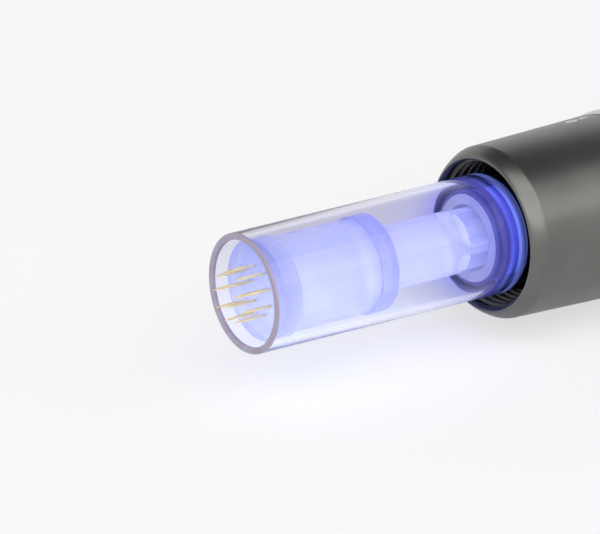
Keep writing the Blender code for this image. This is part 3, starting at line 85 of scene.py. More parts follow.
# Fineness of the turned surfaces
FINE_SIDES = 160
MEDIUM_SIDES = 96
SMALL_SIDES = 40
FILLET_STEPS = 5
FILLET_LIMIT_SHARE = 0.45
FILLET_LEAST_BEND = radians(12)
DOME_STEPS = 8
SHARP_ANGLE = radians(32)
MERGE_DISTANCE = 0.0000005
OVERRUN = 0.001

# Broken edges, from the finest to the plain one
FINE_EDGE = 0.00012
SMALL_EDGE = 0.0002
PLAIN_EDGE = 0.0003

# Where the clear and the blue plastics change their tint and their painted light and shade: stations, and
# heights about the axis
TUBE_SPAN = 0.032
TUBE_HALF_HEIGHT = 0.006
NECK_COLLAR = (0.0344, 0.0353, 0.0069)
NECK_CLEARING = 0.001
CARRIAGE_SPAN = 0.036
CARRIAGE_LOW = -0.004
CARRIAGE_HIGH = 0.0045


def station_of(node, end=0):
    """The station of a node's front face, or of its rear face where end is 1."""
    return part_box(node)[end].x - RIM_X


def add_mesh(name, shape, body, materials, nodes=(), smooth_angle=SHARP_ANGLE):
    """Make an object of a bmesh in pen coordinates, which rides on a body and stands for its nodes."""
    bmesh.ops.remove_doubles(shape, verts=shape.verts, dist=MERGE_DISTANCE)
    bmesh.ops.recalc_face_normals(shape, faces=shape.faces)
    mesh = bpy.data.meshes.new(name)
    shape.to_mesh(mesh)
    shape.free()
    mesh.transform(Matrix.Translation((RIM_X, 0, AXIS_Z)))
    mesh.shade_smooth()
    mesh.set_sharp_from_angle(angle=smooth_angle)
    piece = bpy.data.objects.new(name, mesh)
    bpy.context.scene.collection.objects.link(piece)
    for material in materials:
        mesh.materials.append(material)
    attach(piece, body)
    if nodes:
        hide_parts(*nodes)
    return piece


def filleted(outline, closed=True, radius=FINE_EDGE):
    """Round every corner of an outline of (station, radius) points that bends by more than a little.

    A point may carry its own fillet radius as a third value.
    """
    count = len(outline)
    points = []
    for index, entry in enumerate(outline):
        here = Vector(entry[:2])
        at_end = not closed and index in (0, count - 1)
        before = Vector(outline[index - 1][:2]) - here
        after = Vector(outline[(index + 1) % count][:2]) - here
        reach = entry[2] if len(entry) > 2 else radius
        reach = min(reach, before.length * FILLET_LIMIT_SHARE, after.length * FILLET_LIMIT_SHARE)
        if at_end or reach <= 0 or before.angle(-after) < FILLET_LEAST_BEND:
            points.append(tuple(here))
            continue
        start = here + before.normalized() * reach
        end = here + after.normalized() * reach
        for step in range(FILLET_STEPS + 1):
            share = step / FILLET_STEPS
            point = start * (1 - share) ** 2 + here * 2 * share * (1 - share) + end * share ** 2
            points.append(tuple(point))
    return points


def domed(top, rise, radius):
    """Outline points over a round end, from its edge to the axis at its top."""
    points = []
    for step in range(DOME_STEPS):
        angle = pi / 2 * step / DOME_STEPS
        points.append((top - rise * (1 - sin(angle)), radius * cos(angle)))
    return points + [(top, 0)]


def turned(outline, sides=FINE_SIDES, centre=(0, 0), upright=None):
    """A bmesh turned from (station, radius) points about the pen's axis, or about Z when upright.

    centre shifts the axis in Y and Z; upright is the station that an upright piece stands at.
    """
    shape = bmesh.new()
    rings = []
    for station, radius in outline:
        ring = []
        for corner in range(sides if radius > 0 else 1):
            angle = 2 * pi * (corner + 0.5) / sides
            across, up = radius * sin(angle), radius * cos(angle)
            if upright is None:
                place = (station, centre[0] + across, centre[1] + up)
            else:
                place = (upright + across, centre[0] + up, station)
            ring.append(shape.verts.new(place))
        rings.append(ring)
    closed = outline[0][1] > 0
    pairs = list(zip(rings, rings[1:])) + ([(rings[-1], rings[0])] if closed else [])
    for near, far in pairs:
        for corner in range(sides):
            after = (corner + 1) % sides
            if len(near) == 1 and len(far) == 1:
                continue
            if len(near) == 1:
                shape.faces.new((near[0], far[after], far[corner]))
            elif len(far) == 1:
                shape.faces.new((near[corner], near[after], far[0]))
            else:
                shape.faces.new((near[corner], near[after], far[after], far[corner]))
    return shape


def bored(piece, *tools, operation='DIFFERENCE'):
    """Cut tools out of a piece for good, or join them to it, then remove them."""
    for tool in tools:
        step = piece.modifiers.new("bore", 'BOOLEAN')
        step.operation = operation
        step.solver = 'EXACT'
        step.object = tool
    graph = bpy.context.evaluated_depsgraph_get()
    mesh = bpy.data.meshes.new_from_object(piece.evaluated_get(graph))
    piece.modifiers.clear()
    piece.data = mesh
    mesh.set_sharp_from_angle(angle=SHARP_ANGLE)
    for tool in tools:
        bpy.data.objects.remove(tool, do_unlink=True)


def cutter(shape):
    """A bmesh in pen coordinates as a plain object to cut with."""
    bmesh.ops.recalc_face_normals(shape, faces=shape.faces)
    mesh = bpy.data.meshes.new("cutter")
    shape.to_mesh(mesh)
    shape.free()
    mesh.transform(Matrix.Translation((RIM_X, 0, AXIS_Z)))
    tool = bpy.data.objects.new("cutter", mesh)
    bpy.context.scene.collection.objects.link(tool)
    return tool


class Nodes:
    """A short way to write a material's nodes."""

    def __init__(self, name):
        self.material = bpy.data.materials.new(name)
        self.material.use_nodes = True
        self.tree = self.material.node_tree
        self.shader = self.tree.nodes["Principled BSDF"]
        self.output = self.tree.nodes["Material Output"]

    def add(self, kind, **inputs):
        """A new node with its inputs set to values or linked to sockets."""
        node = self.tree.nodes.new(kind)
        for name, value in inputs.items():
            socket = node.inputs[name.replace("_", " ")]
            if isinstance(value, bpy.types.NodeSocket):
                self.tree.links.new(value, socket)
            else:
                socket.default_value = value
        return node

    def link(self, source, target):
        """Join one socket to another."""
        self.tree.links.new(source, target)

    def set(self, **values):
        """Set the Principled shader's sockets: values directly, sockets by links."""
        for name, value in values.items():
            socket = self.shader.inputs[name.replace("_", " ")]
            if isinstance(value, bpy.types.NodeSocket):
                self.link(value, socket)
            elif socket.type == 'RGBA':
                socket.default_value = (*value, 1)
            else:
                socket.default_value = value

    def place(self):
        """The point in the row frame, in metres."""
        return self.add('ShaderNodeTexCoord').outputs["Object"]

    def noise(self, scale, detail=3, roughness=0.5, vector=None):
        """Even noise over the row frame, or over a vector of its own."""
        node = self.add('ShaderNodeTexNoise', Vector=vector or self.place())
        node.inputs["Scale"].default_value = scale
        node.inputs["Detail"].default_value = detail
        node.inputs["Roughness"].default_value = roughness
        return node.outputs["Fac"]

    def stretched(self, x, y, z):
        """The row frame's point scaled along its axes, for grain that runs one way."""
        node = self.add('ShaderNodeMapping', Vector=self.place())
        node.inputs["Scale"].default_value = (x, y, z)
        return node.outputs["Vector"]

    def ramp(self, factor, stops, colours=False):
        """A ramp over (position, value) stops; values are numbers, or colours where colours is true."""
        node = self.add('ShaderNodeValToRGB', Fac=factor)
        ramp = node.color_ramp
        while len(ramp.elements) < len(stops):
            ramp.elements.new(0.5)
        for element, (position, value) in zip(ramp.elements, stops):
            element.position = position
            element.color = (*value, 1) if colours else (value, value, value, 1)
        return node.outputs["Color"]

    def math(self, operation, first, second):
        """Two sockets or numbers put together by a plain operation."""
        node = self.add('ShaderNodeMath')
        node.operation = operation
        for socket, value in zip(node.inputs, (first, second)):
            if isinstance(value, bpy.types.NodeSocket):
                self.link(value, socket)
            else:
                socket.default_value = value
        return node.outputs["Value"]

    def along(self, front, rear):
        """A share that runs from 0 at the front station to 1 at the rear station."""
        split = self.add('ShaderNodeSeparateXYZ', Vector=self.place())
        node = self.add('ShaderNodeMapRange')
        self.link(split.outputs["X"], node.inputs["Value"])
        node.inputs["From Min"].default_value = RIM_X + front
        node.inputs["From Max"].default_value = RIM_X + rear
        return node.outputs["Result"]

    def height(self, low, high):
        """A share that runs from 0 at a height below the pen's axis to 1 at one above it."""
        split = self.add('ShaderNodeSeparateXYZ', Vector=self.place())
        node = self.add('ShaderNodeMapRange')
        self.link(split.outputs["Z"], node.inputs["Value"])
        node.inputs["From Min"].default_value = AXIS_Z + low
        node.inputs["From Max"].default_value = AXIS_Z + high
        return node.outputs["Result"]

    def blend(self, factor, first, second):
        """One colour socket turning into another."""
        node = self.add('ShaderNodeMix')
        node.data_type = 'RGBA'
        self.link(factor, node.inputs["Factor"])
        self.link(first, node.inputs["A"])
        self.link(second, node.inputs["B"])
        return node.outputs["Result"]

    def tinted(self, first, second):
        """Two colour sockets multiplied."""
        node = self.add('ShaderNodeMix')
        node.data_type = 'RGBA'
        node.blend_type = 'MULTIPLY'
        node.inputs["Factor"].default_value = 1
        self.link(first, node.inputs["A"])
        self.link(second, node.inputs["B"])
        return node.outputs["Result"]

    def bump(self, height, depth, strength):
        """Fine relief on the surface from a height socket; its depth is in metres."""
        node = self.add('ShaderNodeBump', Height=height)
        node.inputs["Strength"].default_value = strength
        node.inputs["Distance"].default_value = depth
        self.link(node.outputs["Normal"], self.shader.inputs["Normal"])

    def lamps_pass(self, tint):
        """Let rays from lamps through the clear shader, tinted."""
        path = self.add('ShaderNodeLightPath')
        clear = self.add('ShaderNodeBsdfTransparent')
        clear.inputs["Color"].default_value = (*tint, 1)
        mix = self.add('ShaderNodeMixShader')
        self.link(path.outputs["Is Shadow Ray"], mix.inputs[0])
        self.link(self.shader.outputs["BSDF"], mix.inputs[1])
        self.link(clear.outputs["BSDF"], mix.inputs[2])
        self.link(mix.outputs["Shader"], self.output.inputs["Surface"])


# Materials

def satin_metal(name, dark, light, roughness):
    """Fine blasted metal, a little uneven in colour and sheen."""
    nodes = Nodes(name)
    grain = nodes.noise(14000, detail=4, roughness=0.6)
    patches = nodes.noise(260, detail=3, roughness=0.55)
    nodes.set(
        Metallic=0.9,
        Base_Color=nodes.ramp(patches, [(0.3, dark), (0.7, light)], colours=True),
        Roughness=nodes.ramp(grain, [(0.3, roughness - 0.03), (0.7, roughness + 0.04)]))
    nodes.bump(grain, depth=0.000006, strength=0.25)
    return nodes.material


def turned_metal(name, dark, light, roughness, groove_scale=9000):
    """Metal off a lathe: faint grooves round the axis."""
    nodes = Nodes(name)
    grooves = nodes.noise(1, detail=4, roughness=0.6, vector=nodes.stretched(groove_scale, 60, 60))
    nodes.set(
        Metallic=1.0,
        Base_Color=nodes.ramp(nodes.noise(500), [(0.3, dark), (0.7, light)], colours=True),
        Roughness=nodes.ramp(grooves, [(0.3, roughness), (0.7, roughness + 0.08)]))
    nodes.bump(grooves, depth=0.000004, strength=0.3)
    return nodes.material


def moulded_plastic(name, dark, light, roughness, grain_scale=5000, depth=0.000004):
    """Opaque moulded plastic with a faint texture."""
    nodes = Nodes(name)
    grain = nodes.noise(grain_scale)
    nodes.set(
        Base_Color=nodes.ramp(nodes.noise(400), [(0.3, dark), (0.7, light)], colours=True),
        Roughness=nodes.ramp(grain, [(0.3, roughness - 0.04), (0.7, roughness + 0.05)]))
    nodes.bump(grain, depth=depth, strength=0.3)
    return nodes.material


def clear_plastic():
    """Clear lilac tube with painted light: a painted blue glow, strongest at its base, standing in for the
    light of the lamp ring, with painted bright and dark bands there.

    Its lower side carries a painted glow standing in for light from the table, it is painted paler low
    down and darker high up, and the neck is clear again behind its collar.
    """
    nodes = Nodes("clear_plastic")
    ripple = nodes.noise(160, detail=2, roughness=0.4)
    along = nodes.along(0, TUBE_SPAN)
    height = nodes.height(-TUBE_HALF_HEIGHT, TUBE_HALF_HEIGHT)
    # Painted shade: the tube is paler below the axis and darker above it
    tube = nodes.ramp(height, [(0.15, (0.90, 0.92, 1.0)), (0.85, (0.75, 0.74, 0.83))], colours=True)
    # Painted light: a faint glow on the lower side near the front, standing in for light from the table
    glow = nodes.math('MULTIPLY', nodes.ramp(height, [(0.10, 0.07), (0.55, 0)]),
                      nodes.ramp(along, [(0.36, 1), (0.54, 0)]))
    # Painted light: emission, faint along the whole tube and in bright bands near its base, standing in
    # for the lamp ring's light in the wall
    painted_ring_glow = nodes.ramp(along, [
        (0.0, 0.01), (0.70, 0.02), (0.80, 0.05), (0.880, 0.14), (0.900, 0.02), (0.912, 0.02),
        (0.925, 0.42), (0.940, 0.30), (0.946, 0.06), (0.953, 0.40), (0.965, 0.0)])
    # Painted light and shade: bright blue bands and dark violet bands near the base, and a near-black band
    # at the neck where shade falls
    base = nodes.ramp(along, [
        (0.76, (0.70, 0.72, 0.93)),
        (0.82, (0.58, 0.59, 0.86)),
        (0.880, (0.41, 0.41, 0.84)),
        (0.900, (0.12, 0.11, 0.45)),
        (0.912, (0.16, 0.15, 0.52)),
        (0.925, (0.46, 0.52, 1.0)),
        (0.940, (0.36, 0.40, 1.0)),
        (0.946, (0.10, 0.10, 0.62)),
        (0.953, (0.40, 0.46, 1.0)),
        (0.965, (0.03, 0.03, 0.14))], colours=True)
    painted_lit_end = nodes.blend(nodes.ramp(along, [(0.62, 0), (0.77, 1)]), tube, base)
    collar_rear = NECK_COLLAR[1]
    behind_collar = nodes.ramp(nodes.along(collar_rear, collar_rear + NECK_CLEARING), [(0, 0), (1, 1)])
    nodes.set(
        Base_Color=nodes.blend(behind_collar, painted_lit_end, tube),
        Roughness=nodes.ramp(ripple, [(0.3, 0.05), (0.7, 0.07)]),
        IOR=1.14,
        Transmission_Weight=1.0,
        Coat_Weight=0.25,
        Coat_Roughness=0.08,
        Coat_IOR=1.45,
        Emission_Color=nodes.ramp(along, [
            (0.0, (0.42, 0.47, 0.97)), (0.70, (0.40, 0.43, 0.97)), (0.85, (0.20, 0.22, 0.95)),
            (0.93, (0.22, 0.30, 1.0))], colours=True),
        Emission_Strength=nodes.math('MAXIMUM', painted_ring_glow, glow))
    nodes.bump(ripple, depth=0.00002, strength=0.06)
    nodes.lamps_pass((0.90, 0.90, 1.0))
    return nodes.material


def painted_gap_shade():
    """Painted shade: dark violet laid on the bore and the bush's rim where the tube's bore ends at the
    bush, where shade falls in the narrow gap.
    """
    nodes = Nodes("gap_painted_shade")
    cloud = nodes.noise(900, detail=2)
    nodes.set(
        Base_Color=nodes.ramp(cloud, [(0.3, (0.07, 0.06, 0.22)), (0.7, (0.11, 0.09, 0.30))], colours=True),
        Roughness=nodes.ramp(cloud, [(0.3, 0.3), (0.7, 0.4)]))
    nodes.bump(cloud, depth=0.000005, strength=0.2)
    return nodes.material


def rim_plastic():
    """The cut rim of the tube, frosted grey violet."""
    nodes = Nodes("frosted_rim")
    frost = nodes.noise(9000, roughness=0.6)
    clouds = [(0.3, (0.29, 0.25, 0.34)), (0.7, (0.36, 0.32, 0.41))]
    nodes.set(
        Base_Color=nodes.ramp(nodes.noise(600), clouds, colours=True),
        Roughness=nodes.ramp(frost, [(0.3, 0.34), (0.7, 0.48)]))
    nodes.bump(frost, depth=0.000006, strength=0.3)
    return nodes.material


def blue_plastic_painted_glow():
    """Frosted blue moulding in paler and deeper bands along its length, with a painted blue glow standing
    in for the light of the lamp ring behind it, and painted shade darkening its upper side.
    """
    nodes = Nodes("blue_plastic")
    frost = nodes.noise(700, detail=2)
    along = nodes.along(0, CARRIAGE_SPAN)
    body = nodes.ramp(along, [
        (0.04, (0.68, 0.71, 0.97)), (0.10, (0.90, 0.93, 0.99)), (0.20, (0.94, 0.97, 1.0)),
        (0.33, (0.90, 0.93, 1.0)), (0.375, (0.52, 0.55, 0.97)), (0.415, (0.54, 0.57, 0.98)),
        (0.44, (0.80, 0.82, 1.0)), (0.60, (0.85, 0.87, 1.0)), (0.72, (0.88, 0.88, 0.99)),
        (1.0, (0.86, 0.86, 0.96))], colours=True)
    # Painted shade: the upper side is darker than the lower
    height = nodes.height(CARRIAGE_LOW, CARRIAGE_HIGH)
    shade = nodes.ramp(height, [(0.2, (1.0, 1.0, 1.0)), (0.9, (0.74, 0.76, 0.88))], colours=True)
    # Painted light: a blue glow, stronger towards the rear, standing in for the lamp ring's light
    light = [(0.0, (0.38, 0.42, 1.0)), (0.7, (0.60, 0.64, 1.0))]
    nodes.set(
        Base_Color=nodes.tinted(body, shade),
        Roughness=nodes.ramp(frost, [(0.3, 0.22), (0.7, 0.26)]),
        IOR=1.22,
        Transmission_Weight=0.7,
        Emission_Color=nodes.ramp(along, light, colours=True),
        Emission_Strength=nodes.ramp(along, [(0.0, 0.05), (0.3, 0.04), (0.6, 0.07), (0.85, 0.14)]))
    nodes.lamps_pass((0.78, 0.81, 0.98))
    return nodes.material


def glowing(name, colour, strength):
    """A small lamp or light pipe that glows evenly, a little milky."""
    nodes = Nodes(name)
    cloud = nodes.noise(1500, detail=2)
    dim = tuple(0.8 * part for part in colour)
    nodes.set(
        Base_Color=nodes.ramp(cloud, [(0.3, dim), (0.7, colour)], colours=True),
        Roughness=0.35,
        Emission_Color=colour,
        Emission_Strength=strength)
    nodes.bump(cloud, depth=0.000004, strength=0.2)
    return nodes.material


def board_material():
    """Green lacquered board with paler copper traces under the lacquer."""
    nodes = Nodes("circuit_board")
    traces = nodes.add('ShaderNodeTexVoronoi', Vector=nodes.stretched(900, 900, 0))
    traces.distance = 'CHEBYCHEV'
    greens = [(0.35, (0.012, 0.09, 0.045)), (0.45, (0.03, 0.16, 0.08))]
    nodes.set(
        Base_Color=nodes.ramp(traces.outputs["Distance"], greens, colours=True),
        Roughness=nodes.ramp(nodes.noise(3000), [(0.3, 0.3), (0.7, 0.42)]))
    nodes.bump(traces.outputs["Distance"], depth=0.00002, strength=0.3)
    return nodes.material


GUNMETAL = satin_metal("satin_gunmetal", (0.144, 0.144, 0.136), (0.165, 0.165, 0.156), 0.33)
BRIGHT = turned_metal("bright_ring", (0.58, 0.58, 0.58), (0.66, 0.66, 0.66), 0.24)
GOLD = turned_metal("gold_steel", (0.98, 0.80, 0.40), (1.0, 0.91, 0.56), 0.28)
SPRING_WIRE = turned_metal("spring_steel", (0.52, 0.52, 0.54), (0.66, 0.66, 0.68), 0.22)
STEEL = turned_metal("plain_steel", (0.42, 0.42, 0.43), (0.52, 0.52, 0.53), 0.28)
BRASS = turned_metal("brass", (0.62, 0.45, 0.18), (0.76, 0.57, 0.26), 0.26)
CLEAR = clear_plastic()
RIM = rim_plastic()
GAP_SHADE = painted_gap_shade()
BLUE = blue_plastic_painted_glow()
THREAD = satin_metal("dark_thread", (0.060, 0.058, 0.052), (0.085, 0.082, 0.072), 0.24)
GREY = moulded_plastic("grey_plastic", (0.52, 0.52, 0.60), (0.60, 0.60, 0.68), 0.42)
BLACK = moulded_plastic("black_plastic", (0.012, 0.012, 0.014), (0.022, 0.022, 0.025), 0.36)
WHITE = moulded_plastic("white_plastic", (0.72, 0.72, 0.70), (0.82, 0.82, 0.80), 0.38)
RUBBER = moulded_plastic("black_rubber", (0.010, 0.010, 0.011), (0.018, 0.018, 0.019), 0.62,
                         grain_scale=8000, depth=0.000008)
CELL = moulded_plastic("cell_wrap", (0.045, 0.11, 0.26), (0.06, 0.14, 0.32), 0.3,
                       grain_scale=1500)
BOARD = board_material()
BLUE_LIGHT = glowing("blue_light", (0.30, 0.42, 1.0), 2.5)
INDICATOR = glowing("blue_indicator", (0.22, 0.40, 1.0), 0.9)

SLOT_MATERIALS = {
    "clear_plastic": CLEAR,
    "blue_plastic": BLUE,
    "grey_plastic": GREY,
    "black_plastic": BLACK,
    "white_plastic": WHITE,
    "gold_steel": GOLD,
    "spring_steel": SPRING_WIRE,
    "plain_steel": STEEL,
    "bright_ring": BRIGHT,
    "satin_gunmetal": GUNMETAL,
    "brass": BRASS,
    "black_rubber": RUBBER,
    "circuit_board": BOARD,
    "blue_light": BLUE_LIGHT,
    "cell_wrap": CELL,
}

# Every node carried over from the frame takes the material of its slot
for entry in frame["record"]["subparts"]:
    node = frame["nodes"][entry["node"]]
    material = SLOT_MATERIALS[entry["material_slot"]]
    node.data.materials.clear()
    node.data.materials.append(material)

# Depth dial: the turned nose, with the thread that its mouth shows
DIAL_FRONT = station_of("nose_dial")
DIAL_REAR = station_of("nose_dial", 1)
DIAL_LIP_START = 0.0080
DIAL_MOUTH_EDGE = 0.00022
DIAL_LIP_RADIUS = 0.00911
DIAL_LIP_LENGTH = 0.00155
DIAL_LIP_STEPS = 8
DIAL_LIP_POWER = 1.6
DIAL_LIP_FILLET = 0.0008
DIAL_REAR_RADIUS = 0.00972
DIAL_BORE_REAR = 0.0386
DIAL_COUNTERBORE = 0.0085
DIAL_GROOVE = (0.04475, 0.04545, 0.0090)
THREAD_PITCH = 0.0010
THREAD_STARTS = 3
THREAD_ROOT = 0.00785
THREAD_CREST = 0.00745
THREAD_STEPS = 24
THREAD_SIDES = 2 * THREAD_STARTS * THREAD_STEPS
THREAD_RUNOUT = 0.0007

lip = []
for step in range(DIAL_LIP_STEPS + 1):
    share = step / DIAL_LIP_STEPS
    lip.append((DIAL_FRONT + DIAL_LIP_LENGTH * share ** DIAL_LIP_POWER,
                DIAL_LIP_START + (DIAL_LIP_RADIUS - DIAL_LIP_START) * share,
                DIAL_LIP_FILLET if step == DIAL_LIP_STEPS else 0))
groove_front, groove_rear, groove_radius = DIAL_GROOVE
dial_outline = filleted([(DIAL_FRONT + DIAL_MOUTH_EDGE, THREAD_ROOT)] + lip + [
    (DIAL_REAR, DIAL_REAR_RADIUS, PLAIN_EDGE),
    (DIAL_REAR, DIAL_COUNTERBORE),
    (groove_rear, DIAL_COUNTERBORE),
    (groove_rear, groove_radius),
    (groove_front, groove_radius),
    (groove_front, DIAL_COUNTERBORE),
    (DIAL_BORE_REAR, DIAL_COUNTERBORE),
    (DIAL_BORE_REAR, THREAD_ROOT),
], closed=False)


def thread_radius(station, angle):
    """The bore's radius on a round-crested screw thread that fades out at both ends."""
    turns = (station - DIAL_FRONT) / THREAD_PITCH - THREAD_STARTS * angle / (2 * pi)
    crest = max(0.0, cos(2 * pi * turns))
    ends = min(1.0, (station - DIAL_FRONT - DIAL_MOUTH_EDGE) / THREAD_RUNOUT,
               (DIAL_BORE_REAR - station) / THREAD_RUNOUT)
    return THREAD_ROOT - (THREAD_ROOT - THREAD_CREST) * crest * max(ends, 0.0)


def threaded_nose():
    """The nose's turned outside and its threaded bore as one closed bmesh."""
    shape = bmesh.new()
    rows = [(station, radius, False) for station, radius in dial_outline]
    bore_length = DIAL_BORE_REAR - DIAL_FRONT - DIAL_MOUTH_EDGE
    count = round(bore_length / THREAD_PITCH * THREAD_STEPS)
    rows += [(DIAL_BORE_REAR - bore_length * step / count, THREAD_ROOT, True) for step in range(1, count)]
    rings = []
    for station, radius, threaded in rows:
        ring = []
        for corner in range(THREAD_SIDES):
            angle = 2 * pi * (corner + 0.5) / THREAD_SIDES
            reach = thread_radius(station, angle) if threaded else radius
            ring.append(shape.verts.new((station, reach * sin(angle), reach * cos(angle))))
        rings.append((ring, threaded))
    for (near, near_cut), (far, far_cut) in zip(rings, rings[1:] + rings[:1]):
        for corner in range(THREAD_SIDES):
            after = (corner + 1) % THREAD_SIDES
            face = shape.faces.new((near[corner], near[after], far[after], far[corner]))
            face.material_index = 1 if near_cut and far_cut else 0
    return shape


add_mesh("nose_dial_turned", threaded_nose(), "depth_dial", [GUNMETAL, THREAD], ["nose_dial"])

# Trim ring: a bright bead, crowned between its two edges
TRIM_FRONT = station_of("trim_ring")
TRIM_REAR = station_of("trim_ring", 1)
TRIM_RADIUS = 0.00997
TRIM_SEAT = 0.0087
TRIM_BEAD_RISE = 0.00022
TRIM_STEPS = 16
trim_outline = [(TRIM_REAR, TRIM_SEAT), (TRIM_FRONT, TRIM_SEAT)]
for step in range(TRIM_STEPS + 1):
    share = step / TRIM_STEPS
    crown = TRIM_BEAD_RISE * (1 - sin(pi * share))
    trim_outline.append((TRIM_FRONT + (TRIM_REAR - TRIM_FRONT) * share, TRIM_RADIUS - crown))
add_mesh("trim_ring_turned", turned(filleted(trim_outline)), "handle", [BRIGHT], ["trim_ring"])

# Barrel: the flared handle with its holes and the flat that it lies on
BARREL_FRONT = station_of("barrel")
BARREL_REAR = station_of("barrel", 1)
BARREL_FRONT_RADIUS = 0.0099
BARREL_RADIUS = 0.0115
BARREL_FRONT_BORE = 0.00895
BARREL_BORE = 0.0102
BARREL_BORE_STEP = 0.0814
BARREL_FLARE = 0.0340
BARREL_FLARE_STEPS = 40
HOLE_GAP = 0.00015
HOLE_FLARE = 0.0003
LIGHT_HOLE_GAP = 0.0001
LIGHT_RADIUS = 0.0006
LIGHT_BAR_WIDTH = 0.0030
LIGHT_PITCH = 0.0025
LIGHT_COUNT = 5
LIGHT_STATIONS = [station_of("light_guide") + LIGHT_BAR_WIDTH / 2 + LIGHT_PITCH * index
                  for index in range(LIGHT_COUNT)]

# Each button: its node, its body and its radius
BUTTONS = [
    ("power_button", "power_key", 0.0034),
    ("speed_up_button", "speed_up_key", 0.0026),
    ("speed_down_button", "speed_down_key", 0.0026),
]


def node_middle(node):
    """The station in the middle of a node."""
    return (station_of(node) + station_of(node, 1)) / 2


def flare_radius(share):
    """The radius of the barrel's outside at a share of its flare."""
    return BARREL_FRONT_RADIUS + (BARREL_RADIUS - BARREL_FRONT_RADIUS) * (1 - cos(pi * share)) / 2


def flat_cutter(front, rear):
    """The space under the table's surface, to cut the flat that the pen lies on."""
    under = bmesh.new()
    bmesh.ops.create_cube(under, size=1)
    for corner in under.verts:
        corner.co.x = rear if corner.co.x > 0 else front
        corner.co.y *= 4 * BARREL_RADIUS
        corner.co.z = -AXIS_Z if corner.co.z > 0 else -2 * BARREL_RADIUS
    return cutter(under)


def hole_cutter(station, radius):
    """A round hole up through the barrel's top, with a fine broken edge."""
    top = BARREL_RADIUS + 2 * OVERRUN
    outline = [
        (0, 0),
        (0, radius),
        (BARREL_RADIUS - 2 * HOLE_FLARE, radius),
        (BARREL_RADIUS + HOLE_FLARE, radius + HOLE_FLARE),
        (top, radius + HOLE_FLARE),
        (top, 0),
    ]
    return cutter(turned(outline, MEDIUM_SIDES, upright=station))


barrel_outline = [(BARREL_FRONT, BARREL_FRONT_BORE), (BARREL_FRONT, BARREL_FRONT_RADIUS, PLAIN_EDGE)]
for step in range(1, BARREL_FLARE_STEPS + 1):
    share = step / BARREL_FLARE_STEPS
    barrel_outline.append((BARREL_FRONT + BARREL_FLARE * share, flare_radius(share), 0))
barrel_outline += [
    (BARREL_REAR, BARREL_RADIUS, PLAIN_EDGE),
    (BARREL_REAR, BARREL_BORE),
    (BARREL_BORE_STEP, BARREL_BORE),
    (BARREL_BORE_STEP, BARREL_FRONT_BORE),
]
barrel = add_mesh("barrel_turned", turned(filleted(barrel_outline)), "handle", [GUNMETAL], ["barrel"])
bored(barrel,
      flat_cutter(BARREL_FRONT - OVERRUN, BARREL_REAR + OVERRUN),
      *[hole_cutter(node_middle(node), radius + HOLE_GAP) for node, body, radius in BUTTONS],
      *[hole_cutter(station, LIGHT_RADIUS + LIGHT_HOLE_GAP) for station in LIGHT_STATIONS])

# Rear cap: rounded end with its spigot and the hole for the socket
CAP_REAR = station_of("rear_cap", 1)
CAP_SPIGOT_FRONT = station_of("rear_cap")
CAP_SEAM = 0.0003
CAP_FRONT = BARREL_REAR + CAP_SEAM
CAP_FLOOR = 0.1690
CAP_HOLE = 0.0040
CAP_HOLE_EDGE = 0.0004
CAP_BORE = 0.0083
CAP_SPIGOT = 0.0101
CAP_GROOVE = (0.15655, 0.15745, 0.00925)
CAP_ROUNDING = 0.0015
CAP_ROUNDING_STEPS = 12
groove_front, groove_rear, groove_radius = CAP_GROOVE
cap_outline = [
    (CAP_FLOOR, CAP_HOLE),
    (CAP_FLOOR, CAP_BORE),
    (CAP_SPIGOT_FRONT, CAP_BORE),
    (CAP_SPIGOT_FRONT, CAP_SPIGOT),
    (groove_front, CAP_SPIGOT),
    (groove_front, groove_radius),
    (groove_rear, groove_radius),
    (groove_rear, CAP_SPIGOT),
    (CAP_FRONT, CAP_SPIGOT),
    (CAP_FRONT, BARREL_RADIUS, PLAIN_EDGE),
]
for step in range(CAP_ROUNDING_STEPS + 1):
    angle = pi / 2 * step / CAP_ROUNDING_STEPS
    station = CAP_REAR - CAP_ROUNDING * (1 - sin(angle))
    cap_outline.append((station, BARREL_RADIUS - CAP_ROUNDING * (1 - cos(angle)), 0))
cap_outline.append((CAP_REAR, CAP_HOLE, CAP_HOLE_EDGE))
cap = add_mesh("rear_cap_turned", turned(filleted(cap_outline)), "handle", [GUNMETAL], ["rear_cap"])
bored(cap, flat_cutter(CAP_FRONT - OVERRUN, CAP_REAR + OVERRUN))

# Cartridge shell: the clear tube with its frosted rim, its shoulder, and its neck with a collar
SHELL_LENGTH = 0.0303
SHELL_RIM_RADIUS = 0.0060
SHELL_REAR_RADIUS = 0.00633
SHELL_INNER_RIM = 0.00533
SHELL_INNER_REAR = 0.00566
SHELL_SHOULDER = 0.0286
